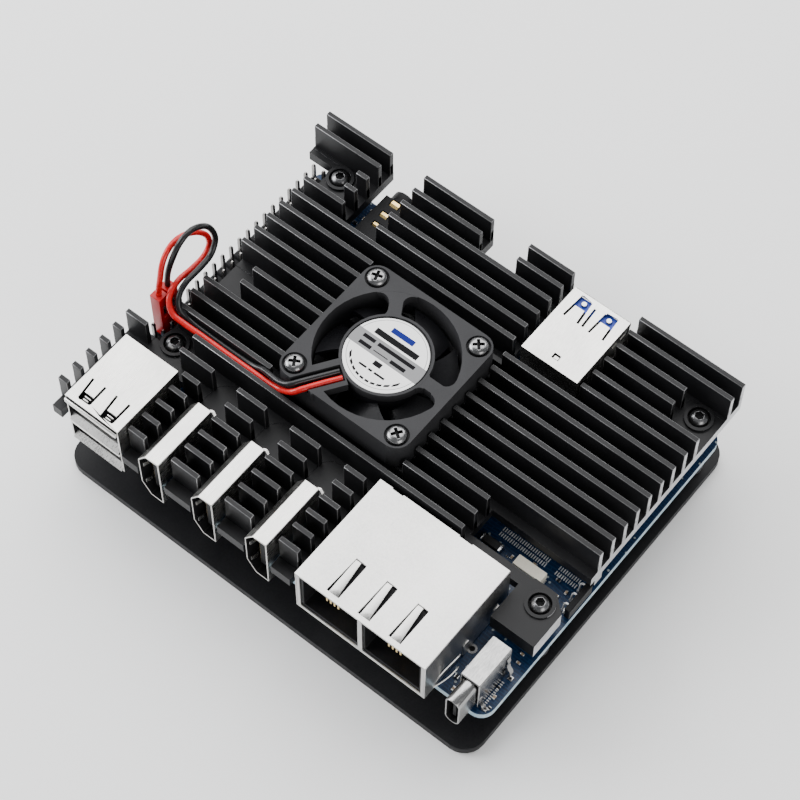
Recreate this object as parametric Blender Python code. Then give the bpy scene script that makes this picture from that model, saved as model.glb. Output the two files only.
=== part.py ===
"""Single board computer between a bottom plate and a finned heatsink with a fan."""
import math

import bmesh
import bpy
from mathutils import Euler, Matrix, Vector

# Lengths below are millimetres in the board's own frame: x to the right along the front edge,
# y to the back, z up from the board's top face. The table is at the bottom plate's underside.
MM = 0.001
PLATE_THICK = 2.0
PLATE_GAP = 8.7                      # clear height under the board
BOARD_THICK = 1.6
ORIGIN_SHIFT = Vector((0.5, -0.1, PLATE_THICK + PLATE_GAP + BOARD_THICK))

BOARD_LONG, BOARD_DEEP, BOARD_CORNER = 100.0, 75.0, 3.0
PLATE_DEEP, PLATE_CORNER = 83.0, 4.5
GAP = 0.3                            # left between pieces that touch

SINK_LEFT, SINK_RIGHT = -51.0, 50.0
SINK_FRONT, SINK_BACK = -40.7, 41.7
SINK_UNDER, SINK_FLOOR, FIN_TOP = 5.2, 7.7, 14.4
FIN_PITCH, FIN_THICK = 3.748, 1.0
FIN_ZERO_Y = -3.85                   # the fin nearest the board's middle
FIN_NUMBERS = range(-9, 13)

CORNER_SCREWS = {"front_left": (-41.9, -16.1), "front_right": (45.75, -16.1),
                 "back_left": (-41.9, 33.65), "back_right": (45.75, 33.65)}

FAN_X, FAN_Y, FAN_TOP, FAN_BOTTOM = -4.95, 2.7, 18.0, 11.0
FAN_SIDE, FAN_HOLE_PITCH = 30.2, 24.4
FAN_OPENING, FAN_HUB = 14.1, 9.0
BLADE_COUNT = 7
WIRE_ANGLE = math.radians(-124)      # the way the wires leave the hub
WIRE_THICK = 1.2

HEADER_X, HEADER_BACK_Y, PIN_PITCH = -47.92, 32.70, 2.54
PIN_ROWS, PIN_COLUMNS, PIN_TOP, PIN_SIDE = 20, 2, 8.6, 0.64

VIDEO_X, VIDEO_PITCH, VIDEO_WIDE = -28.9, 12.94, 5.3
VIDEO_FRONT, VIDEO_BACK = -40.8, -25.8

for old in list(bpy.data.objects):
    bpy.data.objects.remove(old, do_unlink=True)

parts = bpy.data.collections.new("single_board_computer")
tools = bpy.data.collections.new("cutters")
bpy.context.scene.collection.children.link(parts)
bpy.context.scene.collection.children.link(tools)

FINISHES = {
    "black_metal": ((0.018, 0.018, 0.019), 0.45, 0.9),
    "steel": ((0.72, 0.71, 0.69), 0.30, 1.0),
    "screw_steel": ((0.45, 0.45, 0.46), 0.32, 1.0),
    "grey_metal": ((0.30, 0.30, 0.31), 0.42, 0.9),
    "black_plastic": ((0.02, 0.02, 0.022), 0.55, 0.0),
    "fan_plastic": ((0.075, 0.075, 0.08), 0.50, 0.0),
    "blue_plastic": ((0.03, 0.08, 0.42), 0.45, 0.0),
    "cream_plastic": ((0.80, 0.76, 0.62), 0.50, 0.0),
    "board_blue": ((0.012, 0.055, 0.13), 0.40, 0.0),
    "chip": ((0.03, 0.03, 0.032), 0.50, 0.0),
    "pad": ((0.35, 0.40, 0.48), 0.80, 0.0),
    "label_paper": ((0.88, 0.88, 0.87), 0.60, 0.0),
    "red_plastic": ((0.55, 0.02, 0.02), 0.35, 0.0),
    "red_wire": ((0.60, 0.03, 0.02), 0.35, 0.0),
    "black_wire": ((0.015, 0.015, 0.017), 0.35, 0.0),
    "copper": ((0.72, 0.36, 0.18), 0.35, 1.0),
    "brass": ((0.72, 0.55, 0.25), 0.35, 1.0),
}


def world(x, y, z):
    """A point of the board's frame, in metres from the origin."""
    return (Vector((x, y, z)) + ORIGIN_SHIFT) * MM


def finish(name):
    """One material for each finish, made when first asked for."""
    material = bpy.data.materials.get(name)
    if material is None:
        colour, roughness, metallic = FINISHES[name]
        material = bpy.data.materials.new(name)
        material.use_nodes = True
        shader = material.node_tree.nodes["Principled BSDF"]
        shader.inputs["Base Color"].default_value = (*colour, 1.0)
        shader.inputs["Roughness"].default_value = roughness
        shader.inputs["Metallic"].default_value = metallic
    return material


def add_box(bm, x0, x1, y0, y1, z0, z1, turn=0.0):
    """A box between two corners, turned about its own upright axis."""
    middle = world((x0 + x1) / 2, (y0 + y1) / 2, (z0 + z1) / 2)
    size = Vector((x1 - x0, y1 - y0, z1 - z0)) * MM
    matrix = Matrix.LocRotScale(middle, Euler((0, 0, turn)), size)
    bmesh.ops.create_cube(bm, size=1.0, matrix=matrix)


def add_round(bm, x, y, z0, z1, radius, top_radius=None, steps=32, turn=0.0):
    """An upright cylinder, or a cone where the top radius differs."""
    matrix = Matrix.LocRotScale(world(x, y, (z0 + z1) / 2), Euler((0, 0, turn)), None)
    bmesh.ops.create_cone(bm, cap_ends=True, segments=steps, radius1=radius * MM,
                          radius2=(top_radius or radius) * MM, depth=(z1 - z0) * MM, matrix=matrix)


def add_lying_round(bm, x, y0, y1, z, radius, steps=24):
    """A cylinder that lies along y."""
    matrix = Matrix.LocRotScale(world(x, (y0 + y1) / 2, z), Euler((math.pi / 2, 0, 0)), None)
    bmesh.ops.create_cone(bm, cap_ends=True, segments=steps, radius1=radius * MM,
                          radius2=radius * MM, depth=(y1 - y0) * MM, matrix=matrix)


def to_mesh(name, bm, collection):
    """An object with the given mesh, with its origin at the middle of the shape."""
    corners = [vert.co.copy() for vert in bm.verts]
    middle = Vector(((min(c[i] for c in corners) + max(c[i] for c in corners)) / 2 for i in range(3)))
    bmesh.ops.translate(bm, verts=bm.verts, vec=-middle)
    bmesh.ops.recalc_face_normals(bm, faces=bm.faces)
    mesh = bpy.data.meshes.new(name)
    bm.to_mesh(mesh)
    bm.free()
    made = bpy.data.objects.new(name, mesh)
    made.location = middle
    collection.objects.link(made)
    return made


def tool(name, bm):
    """A hidden helper shape that cuts or joins."""
    made = to_mesh(name, bm, tools)
    made.hide_render = True
    made.display_type = "WIRE"
    return made


def part(name, bm, look, round_shape=False):
    made = to_mesh(name, bm, parts)
    made.data.materials.append(finish(look))
    if round_shape:
        made.data.shade_smooth()
        made.data.set_sharp_from_angle(angle=math.radians(35))
    return made


def combine(target, helper, operation):
    step = target.modifiers.new(helper.name, "BOOLEAN")
    step.operation = operation
    step.object = helper


def cut(target, helper):
    combine(target, helper, "DIFFERENCE")


def join(target, helper):
    combine(target, helper, "UNION")


def boxes(sizes):
    bm = bmesh.new()
    for size in sizes:
        add_box(bm, *size)
    return bm


def rounds(sizes, steps=20):
    bm = bmesh.new()
    for size in sizes:
        add_round(bm, *size, steps=steps)
    return bm


def prism(outline, low, high, along="z"):
    """A flat outline given thickness. Along z the outline is (x, y), along y it is (x, z)."""
    curve = bpy.data.curves.new("outline", "CURVE")
    curve.dimensions = "2D"
    curve.fill_mode = "BOTH"
    curve.extrude = (high - low) / 2 * MM
    spline = curve.splines.new("POLY")
    spline.points.add(len(outline) - 1)
    for point, (a, b) in zip(spline.points, outline):
        point.co = (a * MM, b * MM, 0, 1)
    spline.use_cyclic_u = True
    flat = bpy.data.objects.new("outline", curve)
    bpy.context.scene.collection.objects.link(flat)
    middle = (low + high) / 2
    if along == "z":
        flat.location = world(0, 0, middle)
    else:
        flat.location = world(0, middle, 0)
        flat.rotation_euler = (math.pi / 2, 0, 0)
    bpy.context.view_layer.update()
    solid = bpy.data.meshes.new_from_object(flat.evaluated_get(bpy.context.evaluated_depsgraph_get()))
    bm = bmesh.new()
    bm.from_mesh(solid)
    bmesh.ops.remove_doubles(bm, verts=bm.verts, dist=1e-6)
    bmesh.ops.transform(bm, matrix=flat.matrix_world, verts=bm.verts)
    bpy.data.objects.remove(flat)
    bpy.data.curves.remove(curve)
    bpy.data.meshes.remove(solid)
    return bm


def rounded_outline(x0, x1, y0, y1, radius, steps=6):
    """A rectangle with rounded corners."""
    corners = ((x1 - radius, y1 - radius, 0), (x0 + radius, y1 - radius, 90),
               (x0 + radius, y0 + radius, 180), (x1 - radius, y0 + radius, 270))
    outline = []
    for cx, cy, start in corners:
        for i in range(steps + 1):
            angle = math.radians(start + 90 * i / steps)
            outline.append((cx + radius * math.cos(angle), cy + radius * math.sin(angle)))
    return outline


def around(x, y, radius, angle):
    return x + radius * math.cos(angle), y + radius * math.sin(angle)


# ---------------------------------------------------------------- plate, board and fasteners

SCREW_HOLE, SCREW_SHANK, SCREW_HEAD, STANDOFF_RADIUS = 1.4, 1.05, 1.85, 2.8
BOSS_RADIUS, BOSS_TOP, RECESS_RADIUS, RECESS_FLOOR = 2.9, 8.2, 2.25, 6.6
BOSS_STEM = 1.95                     # the boss under the base, beside the pin header
PLATE_TOP = -BOARD_THICK - PLATE_GAP
PLATE_UNDER = PLATE_TOP - PLATE_THICK


def bottom_plate():
    half_x, half_y = BOARD_LONG / 2, PLATE_DEEP / 2
    outline = rounded_outline(-half_x, half_x, -half_y, half_y, PLATE_CORNER)
    plate = part("bottom_plate", prism(outline, PLATE_UNDER, PLATE_TOP), "black_metal")
    holes = [(x, y, PLATE_UNDER - 1, PLATE_TOP + 1, SCREW_HOLE) for x, y in CORNER_SCREWS.values()]
    cut(plate, tool("plate_holes", rounds(holes, 20)))
    sinks = [(x, y, PLATE_UNDER - 1, PLATE_UNDER + 1.3, 2.4) for x, y in CORNER_SCREWS.values()]
    cut(plate, tool("plate_recesses", rounds(sinks, 20)))


def main_board():
    half_x, half_y = BOARD_LONG / 2, BOARD_DEEP / 2
    outline = rounded_outline(-half_x, half_x, -half_y, half_y, BOARD_CORNER)
    board = part("main_board", prism(outline, -BOARD_THICK, 0), "board_blue")
    holes = [(x, y, -BOARD_THICK - 1, 1, SCREW_HOLE) for x, y in CORNER_SCREWS.values()]
    cut(board, tool("board_holes", rounds(holes, 20)))


def standoffs():
    for corner, (x, y) in CORNER_SCREWS.items():
        low, high = PLATE_TOP + GAP, -BOARD_THICK - GAP
        post = part("standoff_" + corner, rounds([(x, y, low, high, STANDOFF_RADIUS)]), "grey_metal", True)
        bore = rounds([(x, y, low - 1, high + 1, SCREW_HOLE)], 20)
        cut(post, tool("standoff_bore_" + corner, bore))


def hex_screw(name, x, y, head_low, head_high, shank_end, look):
    """A socket-head screw. The head faces up when it is above the shank's end."""
    up = 1 if head_high > shank_end else -1
    near, far = (head_low, shank_end) if up > 0 else (head_high, shank_end)
    screw = part(name, rounds([(x, y, head_low, head_high, SCREW_HEAD)], 18), look, True)
    shank = (x, y, min(near + 0.2 * up, far), max(near + 0.2 * up, far), SCREW_SHANK)
    join(screw, tool(name + "_shank", rounds([shank], 16)))
    socket = bmesh.new()
    if up > 0:
        add_round(socket, x, y, head_high - 1.1, head_high + 1, 0.95, steps=6)
    else:
        add_round(socket, x, y, head_low - 1, head_low + 0.6, 0.95, steps=6)
    cut(screw, tool(name + "_socket", socket))


def corner_fasteners():
    for corner, (x, y) in CORNER_SCREWS.items():
        middle = (PLATE_TOP - BOARD_THICK) / 2
        hex_screw("screw_upper_" + corner, x, y, RECESS_FLOOR + GAP, RECESS_FLOOR + GAP + 2.0,
                  middle + 1, "screw_steel")
        hex_screw("screw_lower_" + corner, x, y, PLATE_UNDER + GAP / 2, PLATE_UNDER + 1.0,
                  middle - 1, "screw_steel")


# ------------------------------------------------------------------------------- heatsink

POCKET_LEFT, POCKET_RIGHT, POCKET_FRONT, POCKET_BACK = -21.4, 10.5, -14.4, 21.7
THROUGH_LOW, THROUGH_HIGH = SINK_UNDER - 1, FIN_TOP + 1
MILLED_FLOOR = SINK_FLOOR - 0.1
SLOT_HALF = 3.3


def video_middles():
    return [VIDEO_X + VIDEO_WIDE / 2 + VIDEO_PITCH * i for i in range(3)]


def round_end_slot(x, front, back):
    """A slot along y that ends in a half circle."""
    centre_y = back - SLOT_HALF
    arc = [around(x, centre_y, SLOT_HALF, math.radians(180 * i / 10)) for i in range(11)]
    return [(x - SLOT_HALF, front), (x + SLOT_HALF, front)] + arc


def sink_through_cuts(sink):
    """Where connectors stand through the heatsink."""
    windows = {"header": (SINK_LEFT - 1, -44.6, -17.3, 35.0), "front_ports": (-48.8, -33.5, -43, -21.6),
               "back_ports": (10.3, 26.0, 20.6, 43), "audio": (-34.6, -26.2, 24.0, 43),
               "data_socket": (-9.3, -0.4, 35.4, 43)}
    sizes = [(x0, x1, y0, y1, THROUGH_LOW, THROUGH_HIGH) for x0, x1, y0, y1 in windows.values()]
    sizes += [(x - SLOT_HALF, x + SLOT_HALF, -43, -24.8, THROUGH_LOW, THROUGH_HIGH) for x in video_middles()]
    cut(sink, tool("sink_windows", boxes(sizes)))
    front_right = [(7.4, -43), (51, -43), (51, -6.2), (27.3, -6.2), (27.3, -15.4), (7.4, -15.4)]
    cut(sink, tool("sink_front_right", prism(front_right, THROUGH_LOW, THROUGH_HIGH)))


def sink_fin_cuts(sink):
    """Where fins are milled away above the base."""
    pockets = [(SINK_LEFT - 1, -37.3, 27.9, 36.2), (41.9, SINK_RIGHT + 1, 27.9, 36.2),
               (-45.9, -37.4, -21.0, -13.0), (-45.2, -38.5, -1.5, 5.0)]
    sizes = [(*area, MILLED_FLOOR, THROUGH_HIGH) for area in pockets]
    cut(sink, tool("sink_pockets", boxes(sizes)))
    fan_pocket = (POCKET_LEFT, POCKET_RIGHT, POCKET_FRONT, POCKET_BACK, FAN_BOTTOM - GAP, THROUGH_HIGH)
    cut(sink, tool("sink_fan_pocket", boxes([fan_pocket])))
    for number, x in enumerate(video_middles(), 1):
        slot = prism(round_end_slot(x, -26.0, -16.3), MILLED_FLOOR, THROUGH_HIGH)
        cut(sink, tool("sink_slot_%d" % number, slot))


def sink_front_right_arm(sink):
    """The arm that carries the front-right boss, and the foot at the right end of the base."""
    strip = boxes([(26.0, 43.0, -15.2, -12.7, SINK_UNDER, SINK_FLOOR)])
    join(sink, tool("arm_strip", strip))
    block = [(40.2, -23.5), (50, -23.5), (50, -15.3), (46.8, -12.4), (42.0, -12.4), (40.2, -14.0)]
    join(sink, tool("arm_block", prism(block, 3.6, SINK_FLOOR + 0.1)))
    join(sink, tool("base_foot", boxes([(47.0, SINK_RIGHT - 0.1, -4.7, -2.4, 2.6, SINK_UNDER + 0.6)])))


def heatsink():
    base = [(SINK_LEFT, SINK_RIGHT, SINK_FRONT, SINK_BACK, SINK_UNDER, SINK_FLOOR)]
    sink = part("heatsink", boxes(base), "black_metal")
    fins = []
    for number in FIN_NUMBERS:
        y = FIN_ZERO_Y + FIN_PITCH * number
        fins.append((SINK_LEFT, SINK_RIGHT, y - FIN_THICK / 2, y + FIN_THICK / 2, SINK_FLOOR - 0.5, FIN_TOP))
    join(sink, tool("fins", boxes(fins)))
    sink_through_cuts(sink)
    sink_fin_cuts(sink)
    sink_front_right_arm(sink)
    half = FAN_HOLE_PITCH / 2
    posts = [(FAN_X + sx * half, FAN_Y + sy * half, SINK_FLOOR - 0.5, FAN_BOTTOM - GAP, 2.6)
             for sx in (-1, 1) for sy in (-1, 1)]
    join(sink, tool("fan_posts", rounds(posts, 20)))
    join(sink, tool("pedestal", boxes([(-14.0, 4.0, -6.0, 12.0, 2.9, SINK_UNDER + 0.5)])))
    bosses = [(x, y, SINK_UNDER + 0.2, BOSS_TOP, BOSS_RADIUS) for x, y in CORNER_SCREWS.values()]
    join(sink, tool("bosses", rounds(bosses, 28)))
    stems = [(x, y, GAP, SINK_UNDER + 0.4, BOSS_STEM) for x, y in CORNER_SCREWS.values()]
    join(sink, tool("boss_stems", rounds(stems, 20)))
    recesses = [(x, y, RECESS_FLOOR, BOSS_TOP + 1, RECESS_RADIUS) for x, y in CORNER_SCREWS.values()]
    cut(sink, tool("boss_recesses", rounds(recesses, 24)))
    bores = [(x, y, -1, RECESS_FLOOR + 1, SCREW_HOLE) for x, y in CORNER_SCREWS.values()]
    bores += [(x, y, 8.0, FAN_BOTTOM, SCREW_HOLE) for x, y, *_ in posts]
    cut(sink, tool("sink_bores", rounds(bores, 20)))


# ------------------------------------------------------------------------ fan on the heatsink

HUB_UNDER, STRUT_UNDER, BLADE_TOP, ROTOR_UNDER = 16.0, 15.9, 15.0, 11.4
WIRE_Z = 17.3
WIRE_START = {"red": (-8.4, -6.1), "black": (-9.8, -5.3)}


def fan_frame():
    half = FAN_SIDE / 2
    outline = rounded_outline(FAN_X - half, FAN_X + half, FAN_Y - half, FAN_Y + half, 3.2)
    frame = part("fan_frame", prism(outline, FAN_BOTTOM, FAN_TOP), "fan_plastic")
    opening = (FAN_X, FAN_Y, FAN_BOTTOM - 1, FAN_TOP + 1, FAN_OPENING)
    cut(frame, tool("fan_opening", rounds([opening], 44)))
    join(frame, tool("fan_hub", rounds([(FAN_X, FAN_Y, HUB_UNDER, FAN_TOP, FAN_HUB)], 36)))
    for number, angle in enumerate((0, math.radians(120)), 1):
        x, y = around(FAN_X, FAN_Y, 11.6, angle)
        strut = bmesh.new()
        add_box(strut, x - 3.2, x + 3.2, y - 1.3, y + 1.3, STRUT_UNDER, FAN_TOP - 0.02, angle)
        join(frame, tool("fan_strut_%d" % number, strut))
    x, y = around(-10.6, -7.6, 0.6, WIRE_ANGLE)
    strut = bmesh.new()
    add_box(strut, x - 3.6, x + 3.6, y - 3.0, y + 3.0, STRUT_UNDER, FAN_TOP - 0.02, WIRE_ANGLE)
    join(frame, tool("wire_strut", strut))
    tube = [(FAN_X, FAN_Y, 12.9, HUB_UNDER + 0.5, 2.6)]
    join(frame, tool("bearing_tube", rounds(tube, 24)))
    bore = [(FAN_X, FAN_Y, 12.5, HUB_UNDER + 0.2, 2.0)]
    cut(frame, tool("bearing_bore", rounds(bore, 24)))
    cut(frame, tool("label_recess", rounds([(FAN_X, FAN_Y, FAN_TOP - 0.45, FAN_TOP + 1, 8.5)], 36)))
    channel = bmesh.new()
    x, y = around(-9.1, -5.7, 5.2, WIRE_ANGLE)
    add_box(channel, x - 5.55, x + 5.55, y - 1.8, y + 1.8, WIRE_Z - 0.9, FAN_TOP + 1, WIRE_ANGLE)
    cut(frame, tool("wire_channel", channel))
    half = FAN_HOLE_PITCH / 2
    places = [(FAN_X + sx * half, FAN_Y + sy * half) for sx in (-1, 1) for sy in (-1, 1)]
    cut(frame, tool("fan_holes", rounds([(x, y, FAN_BOTTOM - 1, FAN_TOP + 1, 1.4) for x, y in places], 20)))
    cut(frame, tool("fan_screw_seats", rounds([(x, y, 17.1, FAN_TOP + 1, 2.4) for x, y in places], 24)))


def blades():
    """Thin slanted blades as one mesh of separate bodies, rooted inside the hub's wall."""
    bm = bmesh.new()
    for number in range(BLADE_COUNT):
        start = math.tau * number / BLADE_COUNT
        grid = bmesh.ops.create_grid(bm, x_segments=4, y_segments=2, size=0.5)
        for vert in grid["verts"]:
            along, out = vert.co.x + 0.5, vert.co.y + 0.5
            radius = 8.1 + out * 5.5
            angle = start + math.radians(40) * along + math.radians(14) * out
            low = ROTOR_UNDER + 0.5 + 0.25 * math.sin(math.pi * along)
            x, y = around(FAN_X, FAN_Y, radius, angle)
            vert.co = world(x, y, low + (BLADE_TOP - low - 0.3) * along)
    bmesh.ops.recalc_face_normals(bm, faces=bm.faces)
    bmesh.ops.solidify(bm, geom=bm.faces[:], thickness=0.55 * MM)
    return bm


def fan_rotor():
    """A cup with blades and a shaft. Its origin lies on the shaft's axis."""
    rotor = part("fan_rotor", rounds([(FAN_X, FAN_Y, ROTOR_UNDER, STRUT_UNDER - GAP, 8.6)], 30),
                 "black_plastic", True)
    cut(rotor, tool("rotor_hollow", rounds([(FAN_X, FAN_Y, ROTOR_UNDER + 1.2, FAN_TOP, 7.6)], 30)))
    join(rotor, tool("rotor_shaft", rounds([(FAN_X, FAN_Y, ROTOR_UNDER + 0.6, 15.6, 0.75)], 16)))
    join(rotor, tool("rotor_blades", blades()))


def fan_motor():
    stator = part("fan_stator", rounds([(FAN_X, FAN_Y, 12.9, 15.4, 7.2)], 24), "copper", True)
    cut(stator, tool("stator_bore", rounds([(FAN_X, FAN_Y, 12, 17, 2.9)], 24)))
    bearing = part("fan_bearing", rounds([(FAN_X, FAN_Y, 12.9, 15.8, 1.7)], 24), "brass", True)
    cut(bearing, tool("bearing_hole", rounds([(FAN_X, FAN_Y, 12, 17, 1.05)], 16)))


def fan_label():
    part("fan_label", rounds([(FAN_X, FAN_Y, FAN_TOP - 0.15, FAN_TOP, 8.2)], 36), "label_paper", True)


def fan_screws():
    half = FAN_HOLE_PITCH / 2
    for name, sx, sy in (("front_left", -1, -1), ("front_right", 1, -1),
                         ("back_left", -1, 1), ("back_right", 1, 1)):
        x, y = FAN_X + sx * half, FAN_Y + sy * half
        label = "fan_screw_" + name
        screw = part(label, rounds([(x, y, 17.4, 18.9, 2.0, 1.4)], 20), "screw_steel", True)
        join(screw, tool(label + "_shank", rounds([(x, y, 8.4, 17.6, SCREW_SHANK)], 16)))
        cross = boxes([(x - 1.1, x + 1.1, y - 0.28, y + 0.28, 18.3, 20)])
        cut(screw, tool(label + "_slot", cross))
        cross = boxes([(x - 0.28, x + 0.28, y - 1.1, y + 1.1, 18.3, 20)])
        cut(screw, tool(label + "_cross", cross))


# ----------------------------------------------------------------------------- fan lead

PLUG_FRONT, PLUG_BACK, PLUG_LOW, PLUG_TOP = -14.3, -9.2, 3.1, 15.8
RED_ROUTE = [(-10.6, -9.3, 17.3), (-12.7, -12.6, 17.3), (-13.9, -13.8, 16.6), (-15.6, -14.0, 15.3),
             (-17.9, -13.9, 14.0), (-22.0, -13.9, 13.4), (-30.0, -13.9, 13.3), (-37.0, -13.9, 13.4),
             (-41.0, -14.1, 13.8), (-43.6, -14.1, 14.5), (-45.7, -12.6, 16.0), (-46.4, -9.3, 17.2),
             (-46.6, -5.0, 16.4), (-46.9, -1.4, 15.9), (-47.2, 0.8, 17.2), (-47.5, 0.9, 19.8),
             (-48.0, -0.4, 22.1), (-48.5, -2.2, 23.6), (-48.9, -4.4, 24.6), (-49.0, -6.8, 24.9),
             (-48.8, -9.1, 24.1), (-48.4, -10.9, 22.4), (-48.0, -12.1, 20.0), (-47.92, -12.8, 17.8)]
BLACK_ROUTE = [(-11.9, -8.4, 17.3), (-14.2, -11.8, 17.3), (-15.4, -13.2, 17.0), (-17.6, -13.5, 15.9),
               (-20.2, -13.0, 14.9), (-22.6, -12.55, 13.9), (-25.4, -12.55, 12.8), (-31.0, -12.55, 12.5),
               (-37.0, -12.55, 12.6), (-40.6, -12.6, 13.1), (-43.0, -12.65, 14.7), (-44.3, -11.3, 16.5),
               (-44.8, -8.6, 17.6), (-44.9, -4.2, 17.6), (-45.2, -0.8, 17.9), (-45.8, 1.3, 20.3),
               (-46.4, 0.7, 23.9), (-46.8, -1.2, 26.2), (-47.0, -3.9, 27.5), (-47.1, -6.7, 26.7),
               (-47.4, -8.7, 23.8), (-47.8, -9.9, 20.4), (-47.92, -10.4, 17.8)]


def smooth_route(points, spacing):
    """Even points along a smooth curve through the given ones."""
    dense = []
    padded = [points[0]] + points + [points[-1]]
    for a, b, c, d in zip(padded, padded[1:], padded[2:], padded[3:]):
        for i in range(16):
            t = i / 16
            dense.append(0.5 * (2 * b + (c - a) * t + (2 * a - 5 * b + 4 * c - d) * t * t
                                + (3 * b - a - 3 * c + d) * t ** 3))
    dense.append(points[-1])
    length = sum((q - p).length for p, q in zip(dense, dense[1:]))
    count = max(2, round(length / spacing))
    even, walked, target = [dense[0]], 0.0, length / count
    for p, q in zip(dense, dense[1:]):
        step = (q - p).length
        while walked + step >= target - 1e-12 and len(even) < count:
            even.append(p.lerp(q, (target - walked) / step))
            target += length / count
        walked += step
    even.append(dense[-1])
    return even


def wire(name, look, route):
    points = smooth_route([world(*point) for point in route], 2.6 * WIRE_THICK * MM)
    curve = bpy.data.curves.new(name, "CURVE")
    curve.dimensions = "3D"
    curve.bevel_depth = WIRE_THICK / 2 * MM
    curve.bevel_resolution = 2
    curve.use_fill_caps = True
    spline = curve.splines.new("POLY")
    spline.points.add(len(points) - 1)
    for place, point in zip(spline.points, points):
        place.co = (*(point - points[0]), 1)
    curve.materials.append(finish(look))
    made = bpy.data.objects.new(name, curve)
    made.location = points[0]
    parts.objects.link(made)


def fan_lead():
    pin_y = [HEADER_BACK_Y - PIN_PITCH * row for row in (17, 18)]
    top = PLUG_TOP + GAP
    red = [(*WIRE_START["red"], WIRE_Z)] + RED_ROUTE + [(HEADER_X, pin_y[1], top)]
    black = [(*WIRE_START["black"], WIRE_Z)] + BLACK_ROUTE + [(HEADER_X, pin_y[0], top)]
    wire("wire_red", "red_wire", red)
    wire("wire_black", "black_wire", black)
    plug = part("fan_plug", boxes([(HEADER_X - 1.27, HEADER_X + 1.27, PLUG_FRONT, PLUG_BACK,
                                    PLUG_LOW, PLUG_TOP)]), "red_plastic")
    half = PIN_SIDE / 2 + GAP
    bores = [(HEADER_X - half, HEADER_X + half, y - half, y + half, PLUG_LOW - 1, PIN_TOP + 0.6)
             for y in pin_y]
    cut(plug, tool("plug_bores", boxes(bores)))


# -------------------------------------------------------------------------------- sockets

SHELL = 0.35                         # sheet metal of the connector shells
SEAT = 0.3                           # connectors sit this far above the board


def pin_header():
    front = HEADER_BACK_Y - PIN_PITCH * (PIN_ROWS - 1)
    half = PIN_PITCH / 2
    right = HEADER_X + PIN_PITCH * (PIN_COLUMNS - 1)
    block = (HEADER_X - half, right + half, front - half, HEADER_BACK_Y + half, SEAT, 2.8)
    header = part("pin_header", boxes([block]), "black_plastic")
    pins = []
    for column in range(PIN_COLUMNS):
        for row in range(PIN_ROWS):
            x, y = HEADER_X + PIN_PITCH * column, HEADER_BACK_Y - PIN_PITCH * row
            side = PIN_SIDE / 2
            pins.append((x - side, x + side, y - side, y + side, 2.0, PIN_TOP))
    join(header, tool("header_pins", boxes(pins)))


def port_stack(label, x0, x1, mouth, back, top, blue):
    """Two stacked ports. The mouth is the open end, in front or behind."""
    facing = 1 if mouth > back else -1
    low, high = min(mouth, back), max(mouth, back)
    shell = part(label + "_shell", boxes([(x0, x1, low, high, SEAT, top)]), "steel")
    inner = sorted((mouth + facing, back + facing * SHELL))
    hollow = (x0 + SHELL, x1 - SHELL, *inner, SEAT + SHELL, top - SHELL)
    cut(shell, tool(label + "_hollow", boxes([hollow])))
    side = SHELL + GAP
    rear = sorted((back + facing * side, back + facing * 7.5))
    insert = part(label + "_insert", boxes([(x0 + side, x1 - side, *rear, SEAT + side, top - side)]),
                  "blue_plastic" if blue else "black_plastic")
    reach = sorted((back + facing * 7.0, mouth - facing * 1.2))
    middle = (SEAT + top) / 2
    tongues = [(x0 + side, x1 - side, *reach, middle - 1.0, middle + 1.0)]
    tongues += [(x0 + 1.4, x1 - 1.4, *reach, z, z + 1.8) for z in (SEAT + 2.9, middle + 2.9)]
    join(insert, tool(label + "_tongues", boxes(tongues)))


def video_outline(inset):
    """A D shape standing on its end, its long side to the right."""
    top, low = 15.0, SEAT + 0.1
    return [(VIDEO_WIDE - inset, top - inset), (2.1 + inset * 0.4, top - inset), (inset, top - 3.2),
            (inset, low + 3.2), (2.1 + inset * 0.4, low + inset), (VIDEO_WIDE - inset, low + inset)]


def video_sockets():
    for number, middle in enumerate(video_middles(), 1):
        left = middle - VIDEO_WIDE / 2
        outer = [(left + x, z) for x, z in video_outline(0)]
        inner = [(left + x, z) for x, z in video_outline(SHELL)]
        shell = part("video_shell_%d" % number, prism(outer, VIDEO_FRONT, VIDEO_BACK, "y"), "steel")
        hollow = prism(inner, VIDEO_FRONT - 1, VIDEO_BACK - SHELL, "y")
        cut(shell, tool("video_hollow_%d" % number, hollow))
        core = [(left + x, z) for x, z in video_outline(SHELL + GAP)]
        insert = part("video_tongue_%d" % number, prism(core, -32.0, VIDEO_BACK - SHELL - GAP, "y"),
                      "black_plastic")
        blade = (middle - 0.4, middle + 1.0, VIDEO_FRONT + 1.5, -31.5, 2.4, 13.0)
        join(insert, tool("video_blade_%d" % number, boxes([blade])))


def network_socket():
    x0, x1, front, back, top = 9.06, 39.07, -41.05, -16.36, 13.4
    shield = part("network_shield", boxes([(x0, x1, front, back, SEAT, top)]), "steel")
    hollow = (x0 + SHELL, x1 - SHELL, front - 1, back - SHELL, SEAT + SHELL, top - SHELL)
    cut(shield, tool("network_hollow", boxes([hollow])))
    side = SHELL + GAP
    core = (x0 + side, x1 - side, front + 0.4, back - side, SEAT + side, top - side)
    housing = part("network_housing", boxes([core]), "black_plastic")
    middle = (x0 + x1) / 2
    ports = [(x0 + 1.6, middle - 0.9), (middle + 0.9, x1 - 1.6)]
    mouths = [(a, b, front - 1, front + 13.0, 2.0, 12.0) for a, b in ports]
    cut(housing, tool("network_ports", boxes(mouths)))


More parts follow.
